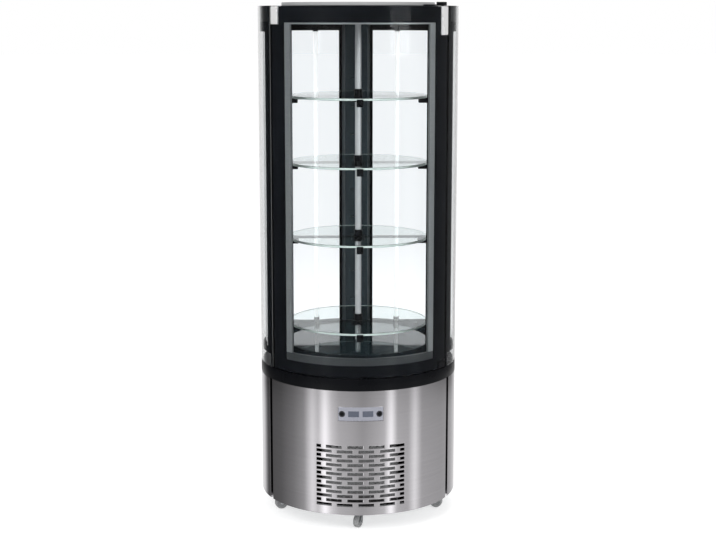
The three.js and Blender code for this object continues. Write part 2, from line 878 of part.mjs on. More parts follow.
function hingeBore(bottom, top) {
  const bore = bar(pivotPinRadius + boreGap, bottom, top);
  return solid(bore.translate(hingePlace.x, hingePlace.y, 0));
}

const doorPane = sector(outerPaneInner, bodyRadius, -doorAngle, doorAngle, doorBottom, doorTop);
add(door, "door_outer_pane", cut(doorPane, room), clearGlass);
add(
  door,
  "door_inner_pane",
  sector(unitInner, innerPaneOuter, -doorWindowAngle, doorWindowAngle, paneBottom, paneTop),
  clearGlass,
);
add(door, "door_spacer", doorSpacer(), aluminium);
add(door, "door_frame", doorFrame(), blackMetal);
add(door, "door_seal", doorSeal(), rubber);
const topBore = hingeBore(doorTop - topPinLength - overrun, doorTop + overrun);
const bottomBore = hingeBore(doorBottom - overrun, doorBottom + bottomPinLength + overrun);
add(door, "top_hinge", fitting(...fittings.top_hinge).subtract(topBore), chrome);
add(door, "bottom_hinge", fitting(...fittings.bottom_hinge).subtract(bottomBore), blackMetal);
add(door, "door_catch", fitting(...fittings.door_catch), chrome);
part.add(door);

// Top pivot: a capped plate on the roof whose pin hangs in the top hinge

function topPivot() {
  const bottom = roofTop + seatGap;
  const plate = sector(
    lidRadius + runningGap,
    bodyRadius - seatGap,
    hingeAngle - capAngle,
    hingeAngle + capAngle,
    bottom,
    overallHeight,
  );
  const pin = bar(pivotPinRadius, doorTop - topPinLength, bottom + lidThickness / 2);
  return join(plate, solid(pin.translate(hingePlace.x, hingePlace.y, 0)));
}

add(part, "top_pivot", topPivot(), blackPlastic);

// Carousel: the spindle with its drive end, and four glass shelves on their spiders

const carousel = new THREE.Group();
const couplingTop = wellBottom - seatGap - driveShaftRadius;
const couplingBottom = couplingTop - couplingHeight;

function spindle() {
  return join(
    rod(spindleRadius, couplingTop - overrun, roofTop - spindleTopInset),
    rod(couplingRadius, couplingBottom, couplingTop),
    rod(driveShaftRadius, couplingBottom - driveShaftLength, couplingBottom + overrun),
  );
}

// A hub with a neck through the glass, four arms, and a cup on each arm that holds the glass by its rim.
function spider() {
  const top = -seatGap;
  const hub = rod(hubRadius, top - hubHeight, top);
  const neck = rod(neckRadius, top - overrun, shelfThickness + neckRise);
  const pieces = [];
  const cupOuter = shelfRadius + seatGap + cupLip;
  for (let i = 0; i < armCount; i += 1) {
    const turn = radians((360 / armCount) * i);
    const arm = box(armWidth, hubRadius / 2, cupOuter - cupLength / 2, top - armHeight, top);
    const cup = box(cupWidth, cupOuter - cupLength, cupOuter, top - cupHeight, top);
    const lip = box(cupWidth, shelfRadius + seatGap, cupOuter, top - overrun, cupLipHeight);
    pieces.push(...[arm, cup, lip].map((piece) => solid(piece.rotateZ(turn))));
  }
  const bore = rod(spindleBore, top - hubHeight - overrun, shelfThickness + neckRise + overrun);
  return join(hub, neck, ...pieces).subtract(bore);
}

const shelfShape = plate(neckRadius + boreGap, shelfRadius, 0, shelfThickness, wholeTurn);
const spiderShape = spider();
add(carousel, "spindle", spindle(), steel);
shelfShares.forEach((share, i) => {
  const level = new THREE.Group();
  level.position.z = windowBottom + share * windowHeight - shelfThickness;
  add(level, "shelf_" + (i + 1), shelfShape, clearGlass);
  add(level, "shelf_spider_" + (i + 1), spiderShape, blackMetal);
  carousel.add(level);
});
part.add(carousel);

// Lower bearing of the spindle, in the well's floor

function lowerBearing() {
  const flangeBottom = wellFloorTop + seatGap;
  const top = flangeBottom + bearingFlangeHeight;
  return join(
    plate(spindleBore, bearingFlangeRadius, flangeBottom, top, smallSides),
    plate(spindleBore, bearingSleeveRadius, wellBottom, top, smallSides),
  );
}

add(part, "lower_bearing", lowerBearing(), greyPlastic);

// Gearmotor, hung under the well on four posts

function gearmotor() {
  const top = couplingBottom - seatGap - overrun;
  const bottom = top - motorHeight;
  const half = motorWidth / 2;
  const body = solid(box(motorWidth, -half, half, bottom, top));
  const can = rod(half - 2 * motorPostRadius, bottom - motorHeight / 2, bottom + overrun);
  const inset = half - 2 * motorPostRadius;
  const posts = [[-1, -1], [1, -1], [1, 1], [-1, 1]].map(([x, y]) =>
    solid(bar(motorPostRadius, top - overrun, wellBottom - seatGap).translate(x * inset, y * inset, 0)),
  );
  const bore = rod(driveShaftRadius + boreGap, couplingBottom - driveShaftLength - overrun, top + overrun);
  return join(body, can, ...posts).subtract(bore);
}

add(part, "gearmotor", gearmotor(), galvanised);

// Compressor: a domed pot on a foot plate, on the base pan

function compressor() {
  const bottom = panTop + seatGap;
  const [footWidth, footDepth, footHeight] = compressorFoot;
  const foot = solid(box(footWidth, -footDepth / 2, footDepth / 2, bottom, bottom + footHeight));
  const top = bottom + compressorHeight;
  const shoulder = compressorRadius / 2;
  const points = [[0, bottom + footHeight / 2], [compressorRadius, bottom + footHeight / 2]];
  const steps = 4;
  for (let i = 0; i <= steps; i += 1) {
    const turn = (Math.PI / 2) * (i / steps);
    const reach = compressorRadius - shoulder * (1 - Math.cos(turn));
    points.push([reach, top - shoulder + shoulder * Math.sin(turn)]);
  }
  points.push([0, top]);
  return join(foot, revolve(points, smallSides));
}

const compressorNode = add(part, "compressor", compressor(), copperBlack);
compressorNode.position.set(...compressorPlace, 0);

// A finned block: a plate pack with a solid middle, seen from above as a comb on both sides
function finnedBlock(width, front, back, core, fins, bottom, top) {
  const pitch = (width - finThickness) / (fins - 1);
  const middle = (front + back) / 2;
  const shape = new THREE.Shape();
  const side = (edge, inner, direction) => {
    for (let i = 0; i < fins; i += 1) {
      const x = direction * (-width / 2 + i * pitch);
      if (i > 0) shape.lineTo(x, inner);
      if (i > 0 || direction < 0) shape.lineTo(x, edge);
      else shape.moveTo(x, edge);
      shape.lineTo(x + direction * finThickness, edge);
      if (i < fins - 1) shape.lineTo(x + direction * finThickness, inner);
    }
  };
  side(front, middle - core / 2, 1);
  side(back, middle + core / 2, -1);
  const geometry = new THREE.ExtrudeGeometry(shape, { depth: top - bottom, bevelEnabled: false });
  return solid(geometry.translate(0, 0, bottom));
}

// Condenser behind the grille: fins between two end sheets that stand on the pan

const condenserBack = -condenserFront + condenserDepth;
const condenserBottom = panTop + seatGap;
const condenserTop = condenserBottom + condenserRise + condenserHeight;

function condenser() {
  const depths = [-condenserFront, condenserBack];
  const pack = finnedBlock(
    condenserWidth,
    ...depths,
    coilCore,
    condenserFins,
    condenserBottom + condenserRise,
    condenserTop,
  );
  const sheets = [-1, 1].map((side) => {
    const sheet = box(condenserSheet, ...depths, condenserBottom, condenserTop);
    return solid(sheet.translate((side * (condenserWidth + condenserSheet)) / 2 - side * overrun, 0, 0));
  });
  return join(pack, ...sheets);
}

add(part, "condenser", condenser(), aluminium);

// Fan shroud behind the condenser, with the motor on three arms, and the fan in its bore

const fanHeight = condenserTop - condenserHeight / 2;
const shroudFront = condenserBack + shroudGap / 2;
const shroudBack = shroudFront + shroudDepth;

function fanShroud() {
  const plate = solid(box(shroudWidth, shroudFront, shroudBack, condenserBottom, condenserTop));
  const hole = rodBack(shroudBore, shroudFront - overrun, shroudBack + overrun, 2 * smallSides);
  const motorFront = shroudBack + fanMotorArm;
  const motor = rodBack(fanMotorRadius, motorFront, motorFront + fanMotorLength);
  const shaft = rodBack(fanShaftRadius, shroudFront + seatGap, motorFront + overrun);
  const arms = [];
  for (let i = 0; i < 3; i += 1) {
    const reach = shroudBore + fanMotorArm;
    const arm = box(fanMotorArm, shroudBack - overrun, motorFront + fanMotorArm, fanMotorRadius / 2, reach);
    arms.push(solid(arm.rotateY(radians(120 * i))));
  }
  const lift = (shape) => shape.translate([0, 0, fanHeight]);
  return join(plate.subtract(lift(hole)), lift(join(motor, shaft, ...arms)));
}

// A bladed rotor about Y, round the origin: pitched flat blades on a hub with a bore.
function rotor(radius, hub, hubLength) {
  const chord = (radius - hub) * bladeChordShare;
  const blades = [];
  for (let i = 0; i < fanBlades; i += 1) {
    const outline = new THREE.Shape();
    outline.moveTo(-chord * bladeRootShare, hub / 2);
    outline.lineTo(chord * bladeRootShare, hub / 2);
    outline.lineTo(chord / 2, radius * bladeLeadShare);
    outline.lineTo(0, radius);
    outline.lineTo(-chord / 2, radius * bladeTrailShare);
    const blade = new THREE.ExtrudeGeometry(outline, { depth: bladeThickness, bevelEnabled: false });
    blade.translate(0, 0, -bladeThickness / 2).rotateX(Math.PI / 2).rotateZ(radians(bladePitch));
    blades.push(solid(blade.rotateY(radians((360 / fanBlades) * i))));
  }
  const body = rodBack(hub, -hubLength / 2, hubLength / 2);
  const bore = rodBack(fanShaftRadius + boreGap, -hubLength / 2 - overrun, hubLength / 2 + overrun);
  return join(body, ...blades).subtract(bore);
}

add(part, "fan_shroud", fanShroud(), blackPlastic);
const condenserFan = add(part, "condenser_fan", rotor(fanRadius, fanHubRadius, fanHubLength), blackPlastic);
condenserFan.position.set(0, (shroudFront + shroudBack) / 2 - overrun, fanHeight);

// Evaporator in the well: fins with the fan's motor behind them, and its fan

const evaporatorBottom = wellFloorTop + seatGap;
const evaporatorBack = evaporatorPlace + evaporatorDepth;
const coolFanHeight = evaporatorBottom + evaporatorHeight / 2;
const coolMotorBack = evaporatorBack + coolMotorLength;
const coolHubMiddle = coolMotorBack + runningGap + fanHubLength / 2;

function evaporator() {
  const pack = finnedBlock(
    evaporatorWidth,
    evaporatorPlace,
    evaporatorBack,
    coilCore,
    evaporatorFins,
    evaporatorBottom,
    evaporatorBottom + evaporatorHeight,
  );
  const motor = rodBack(coolMotorRadius, evaporatorPlace + evaporatorDepth / 2, coolMotorBack);
  const shaft = rodBack(fanShaftRadius, coolMotorBack - overrun, coolHubMiddle + fanHubLength / 2);
  return join(pack, join(motor, shaft).translate([0, 0, coolFanHeight]));
}

add(part, "evaporator", evaporator(), aluminium);
const coolFan = add(part, "evaporator_fan", rotor(coolFanRadius, coolFanHubRadius, fanHubLength), blackPlastic);
coolFan.position.set(0, coolHubMiddle, coolFanHeight);

// Control plate in the front panel: a lip behind the sheet, two sunk displays and a housing

const plateFace = bodyRadius - controlInset;
const plateBack = plateFace - controlFace;
const buttonAngle = angleOf(buttonOffset, bodyRadius);

// A round bar along a button's line of travel, between two distances from the axis.
function radialBar(radius, from, to, angle) {
  const along = bar(radius, from, to).rotateX(Math.PI / 2);
  return solid(along.translate(0, 0, controlBottom + controlHeight / 2).rotateZ(radians(angle)));
}

function controlPlate() {
  const lipAngle = controlAngle + angleOf(controlLip, bodyRadius);
  const face = sector(plateBack, plateFace, -controlAngle, controlAngle, controlBottom, controlTop);
  const lip = sector(
    plateBack,
    bodyRadius - skinThickness - seatGap,
    -lipAngle,
    lipAngle,
    controlBottom - controlLip,
    controlTop + controlLip,
  );
  const front = -(plateBack + overrun) * facetReach;
  const housing = box(housingWidth, front, front + housingDepth, controlBottom, controlTop);
  const middle = (controlBottom + controlTop) / 2;
  const displays = [-1, 1].map((side) => {
    const half = angleOf(displayWidth / 2, bodyRadius);
    const centre = side * angleOf(displayOffset, bodyRadius);
    const span = [centre - half, centre + half];
    const heights = [middle - displayHeight / 2, middle + displayHeight / 2];
    return sector(plateFace - displayDepth, bodyRadius, ...span, ...heights);
  });
  const holes = [-1, 1].map((side) =>
    radialBar(buttonRadius + buttonGap, plateBack - housingDepth, bodyRadius, side * buttonAngle),
  );
  return cut(join(face, lip, solid(housing)), [...displays, ...holes]);
}

function pushButton(angle) {
  const flangeFace = plateBack - buttonFlangeGap;
  return join(
    radialBar(buttonRadius, flangeFace - overrun, bodyRadius - boreGap, angle),
    radialBar(buttonRadius + buttonFlange, flangeFace - buttonFlangeHeight, flangeFace, angle),
  );
}

add(part, "control_plate", controlPlate(), paleMembrane);
add(part, "button_left", pushButton(-buttonAngle), blackPlastic);
add(part, "button_right", pushButton(buttonAngle), blackPlastic);

// Mains inlet in the rear shell: a flanged box behind the sheet with a pocket and three pins

function mainsInlet() {
  const face = bodyRadius * facetReach - seatGap;
  const behind = (bodyRadius - skinThickness) * facetReach - 2 * curveGap;
  const level = inletBottom + inletHeight / 2;
  const block = (width, height, from, to) =>
    box(width, -to, -from, level - height / 2, level + height / 2);
  const body = block(inletWidth, inletHeight, face - inletDepth, face);
  const flange = block(
    inletWidth + 2 * inletFlange,
    inletHeight + 2 * inletFlange,
    behind - inletFlangeDepth,
    behind,
  );
  const floor = face - inletPocket;
  const pocket = block(inletWidth - 2 * inletWall, inletHeight - 2 * inletWall, floor, face + overrun);
  const [pinWidth, pinLength, pinHeight] = inletPin;
  const pins = [-1, 0, 1].map((i) =>
    solid(block(pinWidth, pinHeight, floor - overrun, floor + pinLength).translate(i * inletPinPitch, 0, 0)),
  );
  const made = join(join(solid(body), solid(flange)).subtract(solid(pocket)), ...pins);
  return made.rotate([0, 0, inletAngle]);
}

add(part, "mains_inlet", mainsInlet(), blackPlastic);

export default part;
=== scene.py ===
import json
import math

import bmesh
import bpy
import numpy as np
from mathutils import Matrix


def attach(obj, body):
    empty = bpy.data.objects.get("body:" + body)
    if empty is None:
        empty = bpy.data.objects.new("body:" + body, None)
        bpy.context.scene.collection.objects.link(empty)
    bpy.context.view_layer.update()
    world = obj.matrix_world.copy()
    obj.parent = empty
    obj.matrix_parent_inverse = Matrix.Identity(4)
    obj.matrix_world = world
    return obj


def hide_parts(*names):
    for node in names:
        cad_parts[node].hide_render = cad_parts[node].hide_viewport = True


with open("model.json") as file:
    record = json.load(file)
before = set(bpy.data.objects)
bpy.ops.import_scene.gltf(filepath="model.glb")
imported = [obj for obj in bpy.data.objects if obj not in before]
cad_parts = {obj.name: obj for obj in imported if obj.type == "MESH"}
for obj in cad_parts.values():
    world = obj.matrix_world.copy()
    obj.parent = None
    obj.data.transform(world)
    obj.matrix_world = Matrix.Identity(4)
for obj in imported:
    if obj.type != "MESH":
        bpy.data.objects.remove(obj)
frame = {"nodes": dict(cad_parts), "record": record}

scene = bpy.context.scene
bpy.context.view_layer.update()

# Angles run in degrees from the front (-Y) towards the right (+X), lengths in millimetres.

cameraView = {"place": (-0.125, -4.9, 1.71), "pitch": 9.14, "yaw": -1.455, "lens": 71.7, "shiftUp": -0.035}


def setCamera(view):
    lens = bpy.data.cameras.new("photoLens")
    lens.sensor_width = 36
    lens.lens = view["lens"]
    lens.shift_y = view["shiftUp"]
    camera = bpy.data.objects.new("photoCamera", lens)
    camera.location = view["place"]
    camera.rotation_euler = (math.radians(90 - view["pitch"]), 0, math.radians(view["yaw"]))
    scene.collection.objects.link(camera)
    scene.camera = camera


setCamera(cameraView)


# Mesh helpers

metre = 0.001
nearlyOne = 0.985
rowStep = 60.0
softSteps = 3
# how far the edges of a wall are rolled in, how wide the rolled rim is, and the angle between its columns
sheetEdge = {"rolled": 0.5, "rim": 1.2}
foldEdge = {"rolled": 0.3, "rim": 0.8}
stoutEdge = {"rolled": 0.8, "rim": 1.0}
borderEdge = {"rolled": 0.8, "rim": 1.2}
fineEdge = {"rolled": 0.3, "rim": 0.6}
thinEdge = {"rolled": 0.2, "rim": 0.4}
plateEdge = {"rolled": 0.5, "rim": 0.9}
sealEdge = {"rolled": 2.0, "rim": 2.5}
paneEdge = {"rolled": 0.6, "rim": 0.9, "step": 2.0}
webEdge = {"rolled": 0.8, "rim": 1.0, "step": 2.0}
capEdge = {"rolled": 1.6, "rim": 2.0, "step": 2.0}
blockEdge = {"rolled": 1.6, "rim": 2.2, "step": 2.0}


def around(radius, angle, height):
    # a point at a radius and an angle: (r sin a, -r cos a, z)
    turn = np.radians(angle)
    return np.stack(np.broadcast_arrays(radius * np.sin(turn), -radius * np.cos(turn), height), -1)


def volumeOf(points, faces):
    # six times the volume: each face is fanned from its first corner, and the triple products are added
    total = 0.0
    for rows in faces:
        first = points[rows[:, 0]]
        for k in range(1, rows.shape[1] - 1):
            total += np.einsum("ij,ij->", first, np.cross(points[rows[:, k]], points[rows[:, k + 1]]))
    return total


def fetched(items, label, width, kind=float):
    # one attribute of a mesh as an array
    values = np.empty(len(items) * width, kind)
    items.foreach_get(label, values)
    return values.reshape(-1, width) if width > 1 else values


def evenNormals(mesh, rounded):
    # corners of faces that lie flat look straight up or down, and on a rounded piece those of upright faces look
    # straight away from the axis, so that mirror images run even
    normals = fetched(mesh.corner_normals, "vector", 3)
    sizes = fetched(mesh.polygons, "loop_total", 1, int)
    face = np.repeat(fetched(mesh.polygons, "normal", 3), sizes, axis=0)
    lying = np.abs(face[:, 2]) > nearlyOne
    normals[lying] = face[lying]
    if rounded:
        corner = fetched(mesh.loops, "vertex_index", 1, int)
        away = fetched(mesh.vertices, "co", 3)[corner] * np.array([1, 1, 0])
        away /= np.maximum(np.linalg.norm(away, axis=1, keepdims=True), 1e-9)
        side = np.einsum("ij,ij->i", face, away)
        upright = np.abs(side) > nearlyOne
        normals[upright] = away[upright] * np.sign(side[upright])[:, None]
    mesh.normals_split_custom_set(normals.tolist())


def makePiece(name, shells, finish, body, stands=(), sharp=35, rounded=False):
    # joins closed shells of (points, face rows) in one mesh, with every shell turned outwards
    allPoints, allFaces, start = [], [], 0
    for points, faces in shells:
        if volumeOf(points, faces) < 0:
            faces = [rows[:, ::-1] for rows in faces]
        allPoints.append(points)
        for rows in faces:
            allFaces.extend((rows + start).tolist())
        start += len(points)
    mesh = bpy.data.meshes.new(name)
    mesh.from_pydata(np.concatenate(allPoints) * metre, [], allFaces)
    work = bmesh.new()
    work.from_mesh(mesh)
    bmesh.ops.remove_doubles(work, verts=work.verts, dist=1e-7)
    loose = [v for v in work.verts if not v.link_faces]
    bmesh.ops.delete(work, geom=loose, context="VERTS")
    work.to_mesh(mesh)
    work.free()
    mesh.shade_smooth()
    mesh.set_sharp_from_angle(angle=math.radians(sharp))
    mesh.materials.append(finishes[finish])
    evenNormals(mesh, rounded)
    piece = bpy.data.objects.new(name, mesh)
    scene.collection.objects.link(piece)
    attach(piece, body)
    if stands:
        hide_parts(*stands)


def makeWallPiece(name, shells, finish, body, stands=()):
    makePiece(name, shells, finish, body, stands, sharp=12, rounded=True)


def lines(ends, extra, step, rim):
    # sorted grid lines: the ends, the extra lines with a rim line on both sides, and fillers no more than a step apart
    marks = np.asarray(list(extra), float)
    marks = np.concatenate([ends, marks, marks - rim, marks + rim, [ends[0] + rim, ends[1] - rim]])
    marks = np.unique(np.round(marks[(marks >= ends[0]) & (marks <= ends[1])], 4))
    count = np.maximum(np.ceil(np.diff(marks) / step).astype(int), 1)
    parts = [np.linspace(a, b, n, endpoint=False) for a, b, n in zip(marks[:-1], marks[1:], count)]
    return np.concatenate(parts + [marks[-1:]])


def cellsOn(across, up, openings):
    # a cell is off where its middle lies in an opening (left, right, low, high)
    u = (across[1:] + across[:-1])[:, None] / 2
    v = (up[1:] + up[:-1])[None, :] / 2
    on = np.ones((len(across) - 1, len(up) - 1), bool)
    for left, right, low, high in openings:
        on &= ~((u > left) & (u < right) & (v > low) & (v < high))
    return on


def cellWall(across, up, on, outside, inside, closed=False):
    # a wall of cells between two skins, each a function of (u, v, border); border is 1 at the corners of a
    # cell that is off, and every step from a cell that is on to one that is off gets a side face
    u, v = np.meshgrid(across, up, indexing="ij")
    padded = np.pad(on, 1)
    if closed:
        padded[0, 1:-1] = on[-1]
        padded[-1, 1:-1] = on[0]
    border = 1.0 - (padded[:-1, :-1] & padded[1:, :-1] & padded[1:, 1:] & padded[:-1, 1:])
    points = np.concatenate([outside(u, v, border).reshape(-1, 3), inside(u, v, border).reshape(-1, 3)])
    far = u.size
    index = np.arange(far).reshape(u.shape)
    if closed:
        index[-1] = index[0]
    a, b, c, d = index[:-1, :-1], index[1:, :-1], index[1:, 1:], index[:-1, 1:]
    faces = [np.stack([a, b, c, d], -1)[on], np.stack([d, c, b, a], -1)[on] + far]
    beside = (padded[:-2, 1:-1], padded[2:, 1:-1], padded[1:-1, :-2], padded[1:-1, 2:])
    for (p, q), neighbour in zip(((a, d), (c, b), (b, a), (d, c)), beside):
        edge = on & ~neighbour
        faces.append(np.stack([p[edge], q[edge], q[edge] + far, p[edge] + far], -1))
    return points, [np.concatenate(faces)]


def curvedWall(inner, outer, span, heights, openings, rolled, rim, step=3.0):
    # a slice of a round wall whose edges are rolled in by a little at every border
    across = lines(span, [x for o in openings for x in o[:2]], step, math.degrees(rim / outer))
    up = lines(heights, [z for o in openings for z in o[2:]], rowStep, rim)
    roll = min(rolled, (outer - inner) * 0.4)
    return cellWall(
        across, up, cellsOn(across, up, openings),
        lambda u, v, border: around(outer - roll * border, u, v),
        lambda u, v, border: around(inner + roll * border, u, v))


def spanOf(g, side, first="from", last="to"):
    return tuple(sorted((side * g[first], side * g[last])))


def wallOf(g, edge, openings=(), span=None):
    # the slice of a round wall that a dictionary of values gives, over its own span unless one is given
    if span is None:
        span = (-g["half"], g["half"]) if "half" in g else (g["from"], g["to"])
    return curvedWall(g["inner"], g["outer"], span, (g["bottom"], g["top"]), openings, **edge)


def softened(corners, size):
    # each corner of a closed outline becomes a quadratic curve that begins and ends `size` away from it
    p = np.asarray(corners, float)
    size = np.broadcast_to(np.asarray(size, float), len(p))[:, None]
    back, ahead = np.roll(p, 1, 0) - p, np.roll(p, -1, 0) - p
    backLength = np.linalg.norm(back, axis=1, keepdims=True)
    aheadLength = np.linalg.norm(ahead, axis=1, keepdims=True)
    start = (p + back / backLength * np.minimum(size, backLength * 0.45))[:, None]
    end = (p + ahead / aheadLength * np.minimum(size, aheadLength * 0.45))[:, None]
    t = np.linspace(0, 1, softSteps + 1)[None, :, None]
    return ((1 - t) ** 2 * start + 2 * t * (1 - t) * p[:, None] + t**2 * end).reshape(-1, 2)


def ringFaces(count, size):
    # the quads of a closed band of `count` closed outlines with `size` points each
    index = np.arange(count * size).reshape(count, size)
    beside = np.roll(index, -1, 0)
    return np.stack([index, beside, np.roll(beside, -1, 1), np.roll(index, -1, 1)], -1).reshape(-1, 4)


def turned(corners, size=0.8, centre=(0, 0), steps=96):
    # a closed outline of (radius, height) corners carried round an upright axis; corners on the axis stay sharp
    corners = np.asarray(corners, float)
    outline = softened(corners, np.where(corners[:, 0] < 1e-6, 0, size))
    angle = np.linspace(0, 360, steps, endpoint=False)[:, None]
    points = around(outline[None, :, 0], angle, outline[None, :, 1]) + np.array([centre[0], centre[1], 0.0])
    return points.reshape(-1, 3), [ringFaces(steps, len(outline))]


def roundBar(inner, outer, low, high, size=0.8, centre=(0, 0), steps=96):
    # a rod, or a ring where the inner radius isn't zero
    return turned([(inner, low), (outer, low), (outer, high), (inner, high)], size, centre, steps)


def carried(rings):
    # closed rings of points joined side by side, with a fan of triangles over each end
    rings = np.asarray(rings, float)
    count, size = rings.shape[:2]
    index = np.arange(count * size).reshape(count, size)
    low, high = index[:-1], index[1:]
    sides = np.stack([low, np.roll(low, -1, 1), np.roll(high, -1, 1), high], -1).reshape(-1, 4)
    middle = count * size
    first, last = index[0], index[-1]
    caps = np.concatenate([
        np.stack([np.roll(first, -1), first, np.full(size, middle)], -1),
        np.stack([last, np.roll(last, -1), np.full(size, middle + 1)], -1),
    ])
    points = np.concatenate([rings.reshape(-1, 3), [rings[0].mean(0)], [rings[-1].mean(0)]])
    return points, [sides, caps]


def moved(shell, place):
    return place(shell[0]), shell[1]


def block(low, high, size):
    # a box with all its edges rounded: its outline shrinks by a quarter circle towards both ends
    (x0, y0, z0), (x1, y1, z1) = low, high
    t = np.linspace(0, np.pi / 2, softSteps + 1)
    inset = np.concatenate([size * (1 - np.sin(t)), size * (1 - np.sin(t[::-1]))])
    level = np.concatenate([z0 + size * (1 - np.cos(t)), z1 - size * (1 - np.cos(t[::-1]))])
    rings = []
    for shrink, z in zip(inset, level):
        a, b, c, d = x0 + shrink, y0 + shrink, x1 - shrink, y1 - shrink
        outline = softened([(a, b), (c, b), (c, d), (a, d)], max(size - shrink, 0.02))
        rings.append(np.column_stack([outline, np.full(len(outline), z)]))
    return carried(rings)


def turnedBy(angle, shift=(0, 0, 0)):
    # turns points about the upright axis by an angle, then shifts them
    c, s = math.cos(math.radians(angle)), math.sin(math.radians(angle))
    matrix = np.array([[c, s, 0], [-s, c, 0], [0, 0, 1]])
    return lambda points: points @ matrix + np.asarray(shift, float)


def facing(angle, height):
    # sets points down on a round wall: x runs along the wall, y up and z away from the axis
    c, s = math.cos(math.radians(angle)), math.sin(math.radians(angle))
    matrix = np.array([[c, s, 0], [0, 0, 1], [s, -c, 0]])
    return lambda points: points @ matrix + np.array([0, 0, height])


def plateWithHoles(width, height, low, high, holes):
    # a flat plate about the origin with square-cornered holes, each (left, right, bottom, top)
    soft, rim, step = 0.5, 0.6, 8.0
    across = lines((-width / 2, width / 2), [x for h in holes for x in h[:2]], step, rim)
    up = lines((-height / 2, height / 2), [y for h in holes for y in h[2:]], step, rim)
    return cellWall(
        across, up, cellsOn(across, up, holes),
        lambda u, v, border: np.stack([u, v, high - soft * border], -1),
        lambda u, v, border: np.stack([u, v, low + 0 * u], -1))


# Shader helpers: what they are given are plain values or sockets

def feed(tree, socket, given):
    if isinstance(given, bpy.types.NodeSocket):
        tree.links.new(given, socket)
    else:
        socket.default_value = given


def addNode(tree, kind, **values):
    node = tree.nodes.new(kind)
    for key, value in values.items():
        setattr(node, key, value)
    return node


def feedAll(tree, node, values):
    for label, given in values.items():
        feed(tree, node.inputs[label], given)


def noiseOf(tree, vector, scale, detail, rough=0.55):
    node = addNode(tree, "ShaderNodeTexNoise")
    feedAll(tree, node, {"Vector": vector, "Scale": scale, "Detail": detail, "Roughness": rough})
    return node.outputs["Fac"]


def rangeOf(tree, value, low, high, toLow=0.0, toHigh=1.0):
    node = addNode(tree, "ShaderNodeMapRange")
    feedAll(tree, node, {"Value": value, "From Min": low, "From Max": high, "To Min": toLow, "To Max": toHigh})
    return node.outputs["Result"]


def mathOf(tree, operation, first, second):
    node = addNode(tree, "ShaderNodeMath", operation=operation)
    feed(tree, node.inputs[0], first)
    feed(tree, node.inputs[1], second)
    return node.outputs[0]


def mixOf(tree, factor, first, second, **values):
    node = addNode(tree, "ShaderNodeMix", **values)
    feedAll(tree, node, {"Factor": factor, "A": first, "B": second})
    return node.outputs["Result"]


def sumOf(tree, first, second, share):
    # first * (1 - share) + second * share
    return mixOf(tree, share, first, second, data_type="FLOAT")


def scaledBy(tree, vector, scale):
    node = addNode(tree, "ShaderNodeMapping")
    tree.links.new(vector, node.inputs["Vector"])
    node.inputs["Scale"].default_value = scale
    return node.outputs["Vector"]


def rampOf(tree, share, marks):
    # a grey ramp with a level at each place between 0 and 1
    node = addNode(tree, "ShaderNodeValToRGB")
    tree.links.new(share, node.inputs["Fac"])
    band = node.color_ramp.elements
    band.remove(band[-1])
    band[0].position = marks[0][0]
    band[0].color = grey(marks[0][1])
    for place, level in marks[1:]:
        mark = band.new(place)
        mark.color = grey(level)
    return node.outputs["Color"]


def grey(level):
    return (level, level, level, 1)


def blendShaders(tree, factor, first, second):
    mix = addNode(tree, "ShaderNodeMixShader")
    for socket, given in zip(mix.inputs, (factor, first.outputs["BSDF"], second.outputs["BSDF"])):
        tree.links.new(given, socket)
    tree.links.new(mix.outputs["Shader"], tree.nodes["Material Output"].inputs["Surface"])


# Surface patterns, each a tone mask, a roughness mask and a height from the vector

def brushLines(tree, vector):
    # long fine lines that lie level, with slow changes of tone over the sheet
    fine = noiseOf(tree, scaledBy(tree, vector, (6, 6, 2600)), 1.0, 3.0, 0.6)
    wide = noiseOf(tree, scaledBy(tree, vector, (3, 3, 260)), 1.0, 2.0)
    slow = noiseOf(tree, vector, 5.0, 2.0)
    grain = sumOf(tree, fine, wide, 0.4)
    tone = rangeOf(tree, sumOf(tree, grain, slow, 0.35), 0.32, 0.68)
    return tone, tone, grain


def castSkin(tree, vector):
    # fine pebbling with a slow cloud, for paint, plastic and rubber
    fine = noiseOf(tree, vector, 420.0, 2.0)
    slow = noiseOf(tree, vector, 12.0, 3.0)
    tone = rangeOf(tree, sumOf(tree, fine, slow, 0.6), 0.3, 0.7)
    return tone, rangeOf(tree, slow, 0.35, 0.65), fine


def spangle(tree, vector):
    # flat crystals of zinc, each with its own tone
    cells = addNode(tree, "ShaderNodeTexVoronoi", feature="F1")
    tree.links.new(vector, cells.inputs["Vector"])
    cells.inputs["Scale"].default_value = 130.0
    part = addNode(tree, "ShaderNodeSeparateColor")
    tree.links.new(cells.outputs["Color"], part.inputs["Color"])
    slow = noiseOf(tree, vector, 30.0, 3.0)
    tone = sumOf(tree, part.outputs["Red"], slow, 0.4)
    return tone, part.outputs["Green"], cells.outputs["Distance"]


def handMarks(tree, vector):
    # faint wiped streaks and finger marks on glass and gloss
    streak = noiseOf(tree, scaledBy(tree, vector, (9, 9, 2.2)), 1.0, 4.0, 0.6)
    spots = noiseOf(tree, vector, 38.0, 3.0)
    mark = rangeOf(tree, sumOf(tree, streak, spots, 0.5), 0.46, 0.66)
    return mark, mark, spots


